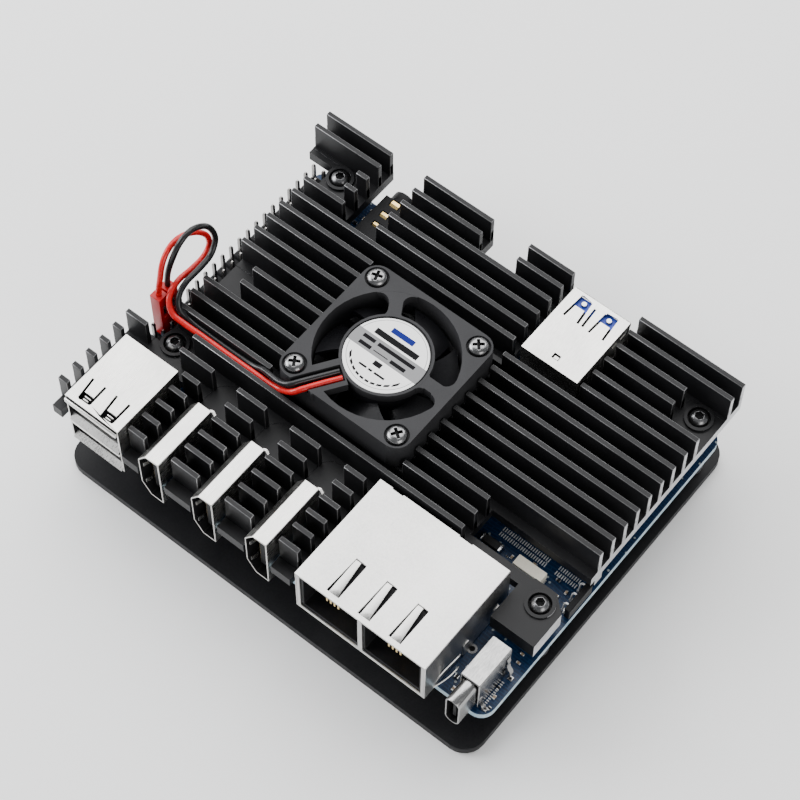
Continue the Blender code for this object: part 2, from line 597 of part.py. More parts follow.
def oval_socket(label, middle, mouth, back, upright):
    """A small oval socket. It stands on its end beside the board's edge, or lies flat."""
    facing = 1 if mouth > back else -1
    long_side, short_side = 8.94, 3.16
    wide, tall = (short_side, long_side) if upright else (long_side, short_side)
    low, high = min(mouth, back), max(mouth, back)

    def oval(inset):
        radius = short_side / 2 - 0.15 - inset
        return rounded_outline(middle - wide / 2 + inset, middle + wide / 2 - inset,
                               SEAT + inset, SEAT + tall - inset, radius, 5)

    shell = part(label + "_shell", prism(oval(0), low, high, "y"), "steel")
    inner = sorted((mouth + facing, back + facing * SHELL))
    cut(shell, tool(label + "_hollow", prism(oval(SHELL), *inner, "y")))
    rear = sorted((back + facing * (SHELL + GAP), back + facing * 3.0))
    tongue = part(label + "_tongue", prism(oval(SHELL + GAP), *rear, "y"), "black_plastic")
    reach = sorted((back + facing * 2.6, mouth - facing * 0.8))
    half = 0.35
    centre = SEAT + tall / 2
    if upright:
        blade = (middle - half, middle + half, *reach, SEAT + 1.4, SEAT + tall - 1.4)
    else:
        blade = (middle - wide / 2 + 1.4, middle + wide / 2 - 1.4, *reach, centre - half, centre + half)
    join(tongue, tool(label + "_blade", boxes([blade])))


def power_cover():
    """The folded cover round the back of the power socket."""
    x0, x1, front, back, top = 43.35, 47.65, -36.4, -26.9, 9.75
    cover = part("power_socket_cover", boxes([(x0, x1, front, back, SEAT, top)]), "steel")
    inside = (x0 + SHELL, x1 - SHELL, front - 1, back - SHELL, SEAT - 1, top - SHELL)
    cut(cover, tool("power_cover_hollow", boxes([inside])))


def audio_socket():
    body = part("audio_socket", boxes([(-33.0, -27.0, 25.5, 37.5, SEAT, 6.0)]), "black_plastic")
    collar = bmesh.new()
    add_lying_round(collar, -30.0, 37.0, 40.0, 3.3, 2.8)
    join(body, tool("audio_collar", collar))
    bore = bmesh.new()
    add_lying_round(bore, -30.0, 27.0, 41.0, 3.3, 1.8)
    cut(body, tool("audio_bore", bore))


# -------------------------------------------------------------------------- small board parts


def board_chips():
    part("main_processor", boxes([(-14.0, 4.0, -6.0, 12.0, SEAT, 1.7)]), "chip")
    part("thermal_pad", boxes([(-13.8, 3.8, -5.8, 11.8, 2.0, 2.6)]), "pad")
    for number, x in enumerate((-23.5, 13.5), 1):
        part("memory_chip_%d" % number, boxes([(x - 5.0, x + 5.0, -4.0, 10.0, SEAT, 1.4)]), "chip")
    part("power_chip", boxes([(27.2, 31.7, -9.5, -7.9, SEAT, 1.3)]), "chip")


def board_connector():
    block = part("board_connector", boxes([(35.3, 41.7, -10.2, -7.9, SEAT, 2.3)]), "cream_plastic")
    cut(block, tool("board_connector_slot", boxes([(35.9, 41.1, -9.35, -8.75, 1.2, 3.5)])))


def side_header():
    """Three right-angle pins in a small block at the right edge."""
    block = part("side_header", boxes([(48.6, 49.9, -12.2, -5.0, SEAT, 3.4)]), "black_plastic")
    side = PIN_SIDE / 2
    foot = 47.9
    rows = [-6.0, -8.54, -11.08]
    arms = [(foot - side, 48.9, y - side, y + side, 2.36, 3.0) for y in rows]
    join(block, tool("side_header_arms", boxes(arms)))
    legs = [(foot - side, foot + side, y - side - 0.01, y + side + 0.01, SEAT, 2.98) for y in rows]
    join(block, tool("side_header_legs", boxes(legs)))


def underside_sockets():
    high = -BOARD_THICK - GAP
    socket = part("storage_socket", boxes([(-11.0, 11.0, -24.0, -16.0, high - 4.2, high)]), "black_plastic")
    cut(socket, tool("storage_slot", boxes([(-9.8, 9.8, -19.5, -15, high - 3.0, high - 1.8)])))
    card = part("card_slot", boxes([(-48.5, -33.5, 8.0, 22.0, high - 1.6, high)]), "steel")
    cut(card, tool("card_opening", boxes([(-50, -35.0, 9.2, 20.8, high - 1.2, high - 0.4)])))


bottom_plate()
main_board()
standoffs()
corner_fasteners()
heatsink()
fan_frame()
fan_rotor()
fan_motor()
fan_label()
fan_screws()
fan_lead()
pin_header()
port_stack("front_ports", -47.0, -33.9, -40.35, -23.35, 15.4, False)
port_stack("back_ports", 12.55, 25.65, 38.28, 21.28, 15.55, True)
video_sockets()
network_socket()
oval_socket("power_socket", 45.5, -41.4, -34.0, True)
power_cover()
oval_socket("data_socket", -4.85, 38.2, 30.8, False)
audio_socket()
board_chips()
board_connector()
side_header()
underside_sockets()
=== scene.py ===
import math

import bmesh
import bpy
from mathutils import Matrix, Vector


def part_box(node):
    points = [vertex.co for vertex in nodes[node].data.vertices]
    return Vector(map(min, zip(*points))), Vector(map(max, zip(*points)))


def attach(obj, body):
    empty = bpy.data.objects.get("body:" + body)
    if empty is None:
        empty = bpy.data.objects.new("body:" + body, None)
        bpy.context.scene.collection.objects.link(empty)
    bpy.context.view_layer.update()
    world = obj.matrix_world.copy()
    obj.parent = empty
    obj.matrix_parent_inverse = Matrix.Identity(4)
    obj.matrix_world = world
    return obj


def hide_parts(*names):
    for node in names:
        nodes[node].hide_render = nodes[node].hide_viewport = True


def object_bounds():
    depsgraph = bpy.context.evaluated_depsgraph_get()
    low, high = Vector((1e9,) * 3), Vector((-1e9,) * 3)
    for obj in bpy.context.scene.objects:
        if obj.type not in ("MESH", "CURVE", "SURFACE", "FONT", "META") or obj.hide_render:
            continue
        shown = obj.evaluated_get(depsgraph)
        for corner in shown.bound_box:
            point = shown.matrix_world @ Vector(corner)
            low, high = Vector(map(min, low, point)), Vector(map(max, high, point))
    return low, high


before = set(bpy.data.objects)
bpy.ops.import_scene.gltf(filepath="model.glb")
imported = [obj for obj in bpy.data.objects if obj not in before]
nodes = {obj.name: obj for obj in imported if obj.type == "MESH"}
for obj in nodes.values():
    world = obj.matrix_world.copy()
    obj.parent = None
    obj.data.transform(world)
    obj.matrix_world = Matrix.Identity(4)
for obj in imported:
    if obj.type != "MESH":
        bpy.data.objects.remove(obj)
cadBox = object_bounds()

scene = bpy.context.scene
mm = 0.001

# Lengths are millimetres from the middle of the board's top face: x right, y back, z up.
boardLow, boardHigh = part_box("main_board")
origin = Vector(((boardLow.x + boardHigh.x) / 2, (boardLow.y + boardHigh.y) / 2, boardHigh.z))


def at(x, y, z):
    return origin + Vector((x, y, z)) * mm


def nodeBox(name):  # a node's low and high corners in board millimetres
    low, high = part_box(name)
    return (low - origin) / mm, (high - origin) / mm


# Camera, light and floor

studio = {"sensor": 36.0, "imageWidth": 800, "focalPixels": 2383.5, "turn": 38.01, "height": 59.83,
          "roll": 0.83, "place": (139.02, -177.30, 397.76), "clip": (0.01, 20),
          "lights": (("topSoftbox", (-0.30, 0.45, 0.70), (1.30, 1.00), 17.0, (1, 1, 1)),
                     ("leftSoftbox", (-0.70, -0.28, 0.42), (0.60, 0.50), 9.0, (0.97, 0.98, 1.0)),
                     ("rightFill", (0.70, -0.30, 0.34), (0.45, 0.45), 2.6, (1.0, 0.98, 0.96))),
          "roomColour": (0.93, 0.95, 0.97, 1), "roomStrength": 0.45,
          "floorHalf": 2.4, "floorColour": (0.93, 0.93, 0.925, 1), "floorRough": 0.7}


def makeCamera():
    data = bpy.data.cameras.new("camera")
    data.sensor_width = studio["sensor"]
    data.lens = studio["focalPixels"] / studio["imageWidth"] * studio["sensor"]
    data.clip_start, data.clip_end = studio["clip"]
    turn, height, roll = (math.radians(studio[key]) for key in ("turn", "height", "roll"))
    back = Vector((math.sin(turn) * math.cos(height), -math.cos(turn) * math.cos(height), math.sin(height)))
    level = Vector((math.cos(turn), math.sin(turn), 0))
    plumb = back.cross(level)
    right = math.cos(roll) * level + math.sin(roll) * plumb
    up = math.cos(roll) * plumb - math.sin(roll) * level
    camera = bpy.data.objects.new("camera", data)
    camera.matrix_world = Matrix((right, up, back)).transposed().to_4x4()
    camera.location = at(*studio["place"])
    scene.collection.objects.link(camera)
    scene.camera = camera


def areaLight(name, place, size, power, colour):
    data = bpy.data.lights.new(name, "AREA")
    data.shape = "RECTANGLE"
    data.size, data.size_y = size
    data.energy = power
    data.color = colour
    light = bpy.data.objects.new(name, data)
    light.location = Vector(place)
    light.rotation_mode = "QUATERNION"
    light.rotation_quaternion = (-Vector(place)).to_track_quat("-Z", "Y")
    scene.collection.objects.link(light)


def makeStudio():
    for light in studio["lights"]:
        areaLight(*light)
    world = bpy.data.worlds.new("softRoom")
    world.use_nodes = True
    background = world.node_tree.nodes["Background"]
    background.inputs["Color"].default_value = studio["roomColour"]
    background.inputs["Strength"].default_value = studio["roomStrength"]
    scene.world = world
    bm = bmesh.new()
    bmesh.ops.create_grid(bm, x_segments=1, y_segments=1, size=studio["floorHalf"])
    bmesh.ops.translate(bm, verts=bm.verts, vec=(0, 0, cadBox[0].z))
    mesh = bpy.data.meshes.new("floor")
    bm.to_mesh(mesh)
    floor = bpy.data.objects.new("floor", mesh)
    scene.collection.objects.link(floor)
    paper = bpy.data.materials.new("floorPaper")
    paper.use_nodes = True
    shader = paper.node_tree.nodes["Principled BSDF"]
    shader.inputs["Base Color"].default_value = studio["floorColour"]
    shader.inputs["Roughness"].default_value = studio["floorRough"]
    mesh.materials.append(paper)


makeCamera()
makeStudio()
print("camera, light and floor")

# Finishes. dark and light are the two ends of the colour, rough the two ends of the roughness,
# grain and cloud the scales of the fine and broad variation, bump its strength and depth in millimetres.

finishes = {
    "blackAnodised": dict(dark=(0.006, 0.006, 0.007), light=(0.012, 0.012, 0.013), rough=(0.34, 0.50),
                          metal=0.0, grain=5200, cloud=90, bump=(0.22, 0.020), spec=0.22,
                          stretch=(0.35, 1, 1)),
    # the lighter metal on the heatsink's rounded edges is a painted highlight along its edges
    "edgeHighlight": dict(dark=(0.10, 0.10, 0.103), light=(0.27, 0.27, 0.275), rough=(0.26, 0.40), metal=0.7,
                     grain=4200, cloud=160, bump=(0.15, 0.010)),
    # the lighter look for the heatsink's right-facing ends is a painted highlight
    "endHighlight": dict(dark=(0.40, 0.40, 0.41), light=(0.66, 0.66, 0.68), rough=(0.30, 0.48), metal=0.35,
                    grain=5200, cloud=260, bump=(0.35, 0.015), stretch=(1, 1, 0.18)),
    "blackPowder": dict(dark=(0.006, 0.006, 0.007), light=(0.015, 0.015, 0.016), rough=(0.40, 0.56),
                        metal=0.0, grain=2600, cloud=70, bump=(0.35, 0.040), spec=0.16),
    "brightSteel": dict(dark=(0.56, 0.55, 0.53), light=(0.84, 0.83, 0.80), rough=(0.20, 0.36), metal=1.0,
                        grain=3800, cloud=75, bump=(0.12, 0.008), stretch=(1, 0.16, 1)),
    "satinSteel": dict(dark=(0.50, 0.495, 0.485), light=(0.76, 0.75, 0.73), rough=(0.24, 0.42), metal=1.0,
                       grain=4300, cloud=55, bump=(0.20, 0.012), stretch=(0.6, 0.6, 1)),
    "darkScrew": dict(dark=(0.10, 0.10, 0.103), light=(0.26, 0.26, 0.265), rough=(0.22, 0.38), metal=0.95,
                      grain=5200, cloud=500, bump=(0.18, 0.010)),
    # a darker copy of the plated steel with lower roughness; its darker colour is painted shade on the oval
    # socket shells and the power cover
    "shadedSteel": dict(dark=(0.20, 0.20, 0.20), light=(0.46, 0.455, 0.45), rough=(0.15, 0.28), metal=1.0,
                        grain=4200, cloud=150, bump=(0.16, 0.010), stretch=(1, 0.2, 1)),
    "platedScrew": dict(dark=(0.12, 0.12, 0.123), light=(0.32, 0.32, 0.32), rough=(0.18, 0.34), metal=1.0,
                        grain=5200, cloud=500, bump=(0.15, 0.010)),
    "socketShadow": dict(dark=(0.005, 0.005, 0.006), light=(0.012, 0.012, 0.012), rough=(0.4, 0.6), metal=0.0,
                         grain=5200, cloud=500, bump=(0.15, 0.010), spec=0.10),
    "greyPost": dict(dark=(0.33, 0.33, 0.34), light=(0.50, 0.50, 0.52), rough=(0.28, 0.44), metal=0.9,
                     grain=4200, cloud=200, bump=(0.20, 0.012), stretch=(1, 1, 0.2)),
    "blackMoulded": dict(dark=(0.006, 0.006, 0.007), light=(0.013, 0.013, 0.014), rough=(0.36, 0.52),
                         metal=0.0, grain=3400, cloud=240, bump=(0.25, 0.015), spec=0.10),
    "fanGrey": dict(dark=(0.024, 0.024, 0.026), light=(0.040, 0.040, 0.042), rough=(0.40, 0.54), metal=0.0,
                    grain=5600, cloud=110, bump=(0.30, 0.018), spec=0.14),
    "bladeBlack": dict(dark=(0.006, 0.006, 0.007), light=(0.013, 0.013, 0.015), rough=(0.24, 0.36), metal=0.0,
                       grain=3200, cloud=120, bump=(0.12, 0.010), spec=0.14),
    "blueMoulded": dict(dark=(0.012, 0.035, 0.30), light=(0.025, 0.06, 0.44), rough=(0.34, 0.46), metal=0.0,
                        grain=3400, cloud=200, bump=(0.20, 0.012), spec=0.3),
    "creamMoulded": dict(dark=(0.80, 0.75, 0.62), light=(0.92, 0.88, 0.76), rough=(0.42, 0.55), metal=0.0,
                         grain=3400, cloud=300, bump=(0.20, 0.012), spec=0.3),
    "boardEdge": dict(dark=(0.20, 0.36, 0.48), light=(0.62, 0.72, 0.76), rough=(0.40, 0.58), metal=0.0,
                      grain=2600, cloud=300, bump=(0.40, 0.020), stretch=(1, 1, 0.3)),
    "chipBlack": dict(dark=(0.010, 0.010, 0.011), light=(0.024, 0.024, 0.026), rough=(0.42, 0.58), metal=0.0,
                      grain=6500, cloud=200, bump=(0.35, 0.012), spec=0.2),
    "softPad": dict(dark=(0.30, 0.35, 0.43), light=(0.40, 0.45, 0.53), rough=(0.7, 0.85), metal=0.0,
                    grain=2400, cloud=150, bump=(0.4, 0.03)),
    "redMoulded": dict(dark=(0.30, 0.003, 0.006), light=(0.50, 0.008, 0.012), rough=(0.24, 0.36), metal=0.0,
                       grain=3000, cloud=220, bump=(0.15, 0.012), spec=0.3),
    "redSleeve": dict(dark=(0.44, 0.004, 0.005), light=(0.62, 0.010, 0.010), rough=(0.22, 0.32), metal=0.0,
                      grain=2400, cloud=300, bump=(0.10, 0.010), spec=0.35, coat=0.1),
    "blackSleeve": dict(dark=(0.006, 0.006, 0.007), light=(0.013, 0.013, 0.014), rough=(0.22, 0.32),
                        metal=0.0, grain=2400, cloud=300, bump=(0.10, 0.010), spec=0.35, coat=0.05),
    "copperWire": dict(dark=(0.52, 0.22, 0.09), light=(0.76, 0.38, 0.18), rough=(0.25, 0.40), metal=1.0,
                       grain=5000, cloud=300, bump=(0.6, 0.05), stretch=(1, 1, 5)),
    "turnedBrass": dict(dark=(0.60, 0.42, 0.16), light=(0.78, 0.58, 0.27), rough=(0.22, 0.36), metal=1.0,
                        grain=4000, cloud=300, bump=(0.2, 0.01), stretch=(1, 1, 6)),
    "goldPlate": dict(dark=(0.72, 0.50, 0.18), light=(0.90, 0.68, 0.30), rough=(0.20, 0.32), metal=1.0,
                      grain=4000, cloud=400, bump=(0.1, 0.008)),
    "solder": dict(dark=(0.52, 0.53, 0.54), light=(0.80, 0.80, 0.80), rough=(0.20, 0.36), metal=1.0,
                   grain=3600, cloud=900, bump=(0.3, 0.02)),
    "pinMetal": dict(dark=(0.20, 0.195, 0.19), light=(0.36, 0.35, 0.34), rough=(0.22, 0.36), metal=1.0,
                     grain=4600, cloud=500, bump=(0.12, 0.010), stretch=(1, 1, 0.2)),
    "tinned": dict(dark=(0.62, 0.63, 0.64), light=(0.86, 0.86, 0.86), rough=(0.26, 0.42), metal=0.2,
                   grain=3600, cloud=900, bump=(0.3, 0.02)),
    "ceramic": dict(dark=(0.30, 0.22, 0.14), light=(0.44, 0.33, 0.22), rough=(0.40, 0.55), metal=0.0,
                    grain=5200, cloud=900, bump=(0.2, 0.010)),
}
made = {}


def node(tree, kind, **values):
    new = tree.nodes.new(kind)
    for name, value in values.items():
        if name in new.inputs:
            new.inputs[name].default_value = value
        else:
            setattr(new, name, value)
    return new


def grainyMaterial(name):
    look = finishes[name]
    mat = bpy.data.materials.new(name)
    mat.use_nodes = True
    tree = mat.node_tree
    shader = tree.nodes["Principled BSDF"]
    coords = node(tree, "ShaderNodeTexCoord")
    spread = node(tree, "ShaderNodeMapping", Scale=look.get("stretch", (1, 1, 1)))
    fine = node(tree, "ShaderNodeTexNoise", Scale=look["grain"], Detail=4.0, Roughness=0.62)
    broad = node(tree, "ShaderNodeTexNoise", Scale=look["cloud"], Detail=3.0, Roughness=0.55)
    blend = node(tree, "ShaderNodeMix", data_type="FLOAT")
    blend.inputs[0].default_value = 0.45
    ramp = node(tree, "ShaderNodeValToRGB")
    ramp.color_ramp.elements[0].position, ramp.color_ramp.elements[1].position = 0.34, 0.66
    ramp.color_ramp.elements[0].color = (*look["dark"], 1)
    ramp.color_ramp.elements[1].color = (*look["light"], 1)
    spanned = node(tree, "ShaderNodeMapRange")
    spanned.inputs[1].default_value, spanned.inputs[2].default_value = 0.32, 0.68
    spanned.inputs[3].default_value, spanned.inputs[4].default_value = look["rough"]
    bump = node(tree, "ShaderNodeBump", Strength=look["bump"][0], Distance=look["bump"][1] * mm)
    link = tree.links.new
    link(coords.outputs["Object"], spread.inputs["Vector"])
    link(spread.outputs["Vector"], fine.inputs["Vector"])
    link(coords.outputs["Object"], broad.inputs["Vector"])
    link(broad.outputs[0], blend.inputs[2])
    link(fine.outputs[0], blend.inputs[3])
    link(blend.outputs[0], ramp.inputs[0])
    link(blend.outputs[0], spanned.inputs[0])
    link(ramp.outputs[0], shader.inputs["Base Color"])
    link(spanned.outputs[0], shader.inputs["Roughness"])
    link(fine.outputs[0], bump.inputs["Height"])
    link(bump.outputs[0], shader.inputs["Normal"])
    shader.inputs["Metallic"].default_value = look["metal"]
    shader.inputs["Specular IOR Level"].default_value = look.get("spec", 0.5)
    shader.inputs["Coat Weight"].default_value = look.get("coat", 0.0)
    return mat


def boardMaterial(name):  # blue lacquer over traces, with small plated vias
    look = {"mask": (0.003, 0.017, 0.052), "trace": (0.006, 0.036, 0.100), "via": (0.35, 0.40, 0.42),
            "traceScale": 330.0, "viaScale": 520.0, "viaRadius": 0.13, "patchwork": 1.35,
            "wanderScale": 140.0,
            "wanderReach": 0.0016, "lane": {"Mortar Size": 0.035, "Brick Width": 0.9, "Row Height": 0.22},
            "rough": (0.22, 0.38), "bump": (0.5, 0.03), "spec": 0.3}
    mat = bpy.data.materials.new(name)
    mat.use_nodes = True
    tree = mat.node_tree
    shader = tree.nodes["Principled BSDF"]
    link = tree.links.new
    coords = node(tree, "ShaderNodeTexCoord")
    wander = node(tree, "ShaderNodeTexNoise", Scale=look["wanderScale"], Detail=1.0)
    bend = node(tree, "ShaderNodeVectorMath", operation="MULTIPLY_ADD")
    bend.inputs[1].default_value = (look["wanderReach"], look["wanderReach"], 0)
    lanes = node(tree, "ShaderNodeTexBrick", Scale=look["traceScale"])
    lanes.inputs["Color1"].default_value = (*look["mask"], 1)
    lanes.inputs["Color2"].default_value = (*(c * look["patchwork"] for c in look["mask"]), 1)
    lanes.inputs["Mortar"].default_value = (*look["trace"], 1)
    for measure, value in look["lane"].items():
        lanes.inputs[measure].default_value = value
    holes = node(tree, "ShaderNodeTexVoronoi", Scale=look["viaScale"])
    isVia = node(tree, "ShaderNodeMath", operation="LESS_THAN")
    isVia.inputs[1].default_value = look["viaRadius"]
    mixed = node(tree, "ShaderNodeMix", data_type="RGBA")
    mixed.inputs[7].default_value = (*look["via"], 1)
    gloss = node(tree, "ShaderNodeMapRange")
    gloss.inputs[3].default_value, gloss.inputs[4].default_value = look["rough"]
    bump = node(tree, "ShaderNodeBump", Strength=look["bump"][0], Distance=look["bump"][1] * mm)
    link(coords.outputs["Object"], wander.inputs["Vector"])
    link(wander.outputs["Color"], bend.inputs[0])
    link(coords.outputs["Object"], bend.inputs[2])
    link(bend.outputs[0], lanes.inputs["Vector"])
    link(coords.outputs["Object"], holes.inputs["Vector"])
    link(holes.outputs["Distance"], isVia.inputs[0])
    link(isVia.outputs[0], mixed.inputs[0])
    link(lanes.outputs["Color"], mixed.inputs[6])
    link(mixed.outputs[2], shader.inputs["Base Color"])
    link(wander.outputs[0], gloss.inputs[0])
    link(gloss.outputs[0], shader.inputs["Roughness"])
    link(lanes.outputs["Fac"], bump.inputs["Height"])
    link(bump.outputs[0], shader.inputs["Normal"])
    shader.inputs["Specular IOR Level"].default_value = look["spec"]
    return mat


def labelMaterial(name):  # white paper with plain printed bars and a rim line, no lettering
    look = {"paper": (0.95, 0.95, 0.94), "band": (0.24, 0.24, 0.245), "ink": (0.004, 0.004, 0.005),
            "accent": (0.008, 0.016, 0.16), "bandSpan": (-1.7, 1.9), "rim": (6.55, 7.0),
            "rimSpan": (-7.2, -3.2),
            "dashPitch": 0.6, "dashGap": 0.17, "ring": (7.55, 7.66), "rough": 0.45, "spec": 0.06,
            "bars": (("ink", 2.35, 3.65, -5.0, 5.0), ("accent", 4.35, 5.55, -2.6, 2.6),
                     ("ink", 0.45, 1.25, -6.2, -3.4), ("ink", 0.45, 1.25, -2.7, 5.9),
                     ("ink", -1.15, -0.35, -6.0, -3.2), ("ink", -0.85, -0.65, -2.6, 0.8),
                     ("ink", -1.15, -0.35, 1.4, 4.9), ("ink", -3.3, -2.2, -0.9, 0.9),
                     ("ink", -4.75, -4.3, -3.0, -1.2), ("ink", -4.75, -4.3, -0.8, 0.1),
                     ("ink", -4.75, -4.3, 0.6, 3.0))}  # colour, low, high, left, right
    mat = bpy.data.materials.new(name)
    mat.use_nodes = True
    tree = mat.node_tree
    shader = tree.nodes["Principled BSDF"]
    link = tree.links.new
    low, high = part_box("fan_label")
    middle = (low + high) / 2
    coords = node(tree, "ShaderNodeTexCoord")
    place = node(tree, "ShaderNodeMapping", vector_type="POINT")
    place.inputs["Location"].default_value = (-middle.x / mm, -middle.y / mm, 0)
    place.inputs["Scale"].default_value = (1 / mm, 1 / mm, 0)
    split = node(tree, "ShaderNodeSeparateXYZ")
    reach = node(tree, "ShaderNodeVectorMath", operation="LENGTH")
    link(coords.outputs["Object"], place.inputs["Vector"])
    link(place.outputs["Vector"], split.inputs[0])
    link(place.outputs["Vector"], reach.inputs[0])

    def within(source, low, high):
        wide = node(tree, "ShaderNodeMath", operation="COMPARE")
        wide.inputs[1].default_value = (low + high) / 2
        wide.inputs[2].default_value = (high - low) / 2
        link(source, wide.inputs[0])
        return wide.outputs[0]

    def both(first, second):
        times = node(tree, "ShaderNodeMath", operation="MULTIPLY")
        link(first, times.inputs[0])
        link(second, times.inputs[1])
        return times.outputs[0]

    def paint(under, colour, where):
        over = node(tree, "ShaderNodeMix", data_type="RGBA")
        over.inputs[7].default_value = (*colour, 1)
        link(under, over.inputs[6])
        link(where, over.inputs[0])
        return over.outputs[2]

    across, along, radius = split.outputs["X"], split.outputs["Y"], reach.outputs["Value"]
    paper = node(tree, "ShaderNodeTexNoise", Scale=900.0, Detail=3.0)
    link(coords.outputs["Object"], paper.inputs["Vector"])
    ramp = node(tree, "ShaderNodeValToRGB")
    ramp.color_ramp.elements[0].color = (*(c * 0.95 for c in look["paper"]), 1)
    ramp.color_ramp.elements[1].color = (*look["paper"], 1)
    link(paper.outputs[0], ramp.inputs[0])
    inked = paint(ramp.outputs[0], look["band"], within(along, *look["bandSpan"]))
    for colour, low, high, left, right in look["bars"]:
        inked = paint(inked, look[colour], both(within(along, low, high), within(across, left, right)))
    rim = both(within(radius, *look["rim"]), within(along, *look["rimSpan"]))
    gaps = node(tree, "ShaderNodeMath", operation="PINGPONG")
    gaps.inputs[1].default_value = look["dashPitch"]
    dashes = node(tree, "ShaderNodeMath", operation="GREATER_THAN")
    dashes.inputs[1].default_value = look["dashGap"]
    link(across, gaps.inputs[0])
    link(gaps.outputs[0], dashes.inputs[0])
    inked = paint(inked, look["ink"], both(rim, dashes.outputs[0]))
    inked = paint(inked, look["band"], within(radius, *look["ring"]))
    bump = node(tree, "ShaderNodeBump", Strength=0.2, Distance=0.01 * mm)
    link(paper.outputs[0], bump.inputs["Height"])
    link(bump.outputs[0], shader.inputs["Normal"])
    link(inked, shader.inputs["Base Color"])
    shader.inputs["Roughness"].default_value = look["rough"]
    shader.inputs["Specular IOR Level"].default_value = look["spec"]
    return mat


def finish(name):
    if name not in made:
        maker = {"blueBoard": boardMaterial, "printedLabel": labelMaterial}.get(name, grainyMaterial)
        made[name] = maker(name)
    return made[name]


# Mesh tools


def addBox(bm, x0, x1, y0, y1, z0, z1):
    v = [bm.verts.new(at(x, y, z)) for z in (z0, z1) for y in (y0, y1) for x in (x0, x1)]
    for loop in ((0, 2, 3, 1), (4, 5, 7, 6), (0, 1, 5, 4), (1, 3, 7, 5), (3, 2, 6, 7), (2, 0, 4, 6)):
        bm.faces.new([v[i] for i in loop])


def boxes(*sizes):
    bm = bmesh.new()
    for size in sizes:
        addBox(bm, *size)
    return bm


def prism(outline, low, high):  # an outline pushed up from low to high
    bm = bmesh.new()
    ends = [[bm.verts.new(at(a, b, level)) for a, b in outline] for level in (low, high)]
    for ring in ends:
        bm.faces.new(ring)
    count = len(outline)
    for i in range(count):
        j = (i + 1) % count
        bm.faces.new([ends[0][i], ends[0][j], ends[1][j], ends[1][i]])
    bmesh.ops.recalc_face_normals(bm, faces=bm.faces)
    return bm


def lathe(x, y, profile, steps):  # profile is (radius, z) from the bottom of the axis to its top
    bm = bmesh.new()
    turns = [math.tau * i / steps for i in range(steps)]
    rings = []
    for radius, z in profile:
        if radius < 1e-6:
            rings.append([bm.verts.new(at(x, y, z))])
        else:
            rings.append([bm.verts.new(at(x + radius * math.cos(turn), y + radius * math.sin(turn), z))
                          for turn in turns])
    for low, high in zip(rings, rings[1:]):
        for i in range(steps):
            j = (i + 1) % steps
            if len(low) == 1:
                bm.faces.new([low[0], high[j], high[i]])
            elif len(high) == 1:
                bm.faces.new([low[i], low[j], high[0]])
            else:
                bm.faces.new([low[i], low[j], high[j], high[i]])
    bmesh.ops.recalc_face_normals(bm, faces=bm.faces)
    return bm


def tube(points, radius, steps):  # points and radius in metres
    bm = bmesh.new()
    ahead = (points[1] - points[0]).normalized()
    side = ahead.orthogonal().normalized()
    rings = []
    for i, point in enumerate(points):
        before, after = points[max(i - 1, 0)], points[min(i + 1, len(points) - 1)]
        new = (after - before).normalized()
        side = ahead.rotation_difference(new) @ side
        ahead = new
        side = (side - ahead * side.dot(ahead)).normalized()
        other = ahead.cross(side)
        rings.append([bm.verts.new(point + (side * math.cos(a) + other * math.sin(a)) * radius)
                      for a in (math.tau * k / steps for k in range(steps))])
    for low, high in zip(rings, rings[1:]):
        for i in range(steps):
            j = (i + 1) % steps
            bm.faces.new([low[i], low[j], high[j], high[i]])
    bm.faces.new(rings[0][::-1])
    bm.faces.new(rings[-1])
    bmesh.ops.recalc_face_normals(bm, faces=bm.faces)
    return bm


def strip(points, width, thick, wide=(1, 0, 0)):  # a bent flat spring of sheet metal
    across = Vector(wide).normalized() * width * mm / 2
    spots = [at(*point) for point in points]
    bm = bmesh.new()
    rows = []
    for i, spot in enumerate(spots):
        ahead = (spots[min(i + 1, len(spots) - 1)] - spots[max(i - 1, 0)]).normalized()
        rise = across.cross(ahead).normalized() * thick * mm / 2
        rows.append([bm.verts.new(spot + a + b)
                     for a, b in ((across, rise), (-across, rise), (-across, -rise), (across, -rise))])
    for low, high in zip(rows, rows[1:]):
        for i in range(4):
            bm.faces.new([low[i], low[(i + 1) % 4], high[(i + 1) % 4], high[i]])
    bm.faces.new(rows[0])
    bm.faces.new(rows[-1])
    bmesh.ops.recalc_face_normals(bm, faces=bm.faces)
    return bm


def shadeInside(mesh, middle):  # walls that face the middle of the socket become the second look, a painted shade on the inner walls
    for face in mesh.polygons:
        away = (face.center - middle).normalized()
        if abs(face.normal.y) < 0.7 and away.x * face.normal.x + away.z * face.normal.z < -0.05:
            face.material_index = 1
    return mesh


def tempObject(mesh):
    holder = bpy.data.objects.new("holder", mesh)
    scene.collection.objects.link(holder)
    return holder


def bake(holder):  # the evaluated object as a plain mesh; the holder is removed
    graph = bpy.context.evaluated_depsgraph_get()
    mesh = bpy.data.meshes.new_from_object(holder.evaluated_get(graph))
    bpy.data.objects.remove(holder)
    return mesh


def toMesh(bm):
    mesh = bpy.data.meshes.new("shape")
    bm.to_mesh(mesh)
    bm.free()
    return mesh


shading = {"bevelAngle": 32, "narrow": 0.45, "least": 2.0, "most": 36.0, "broad": 4.0, "level": 0.9999,
           "together": 0.2}


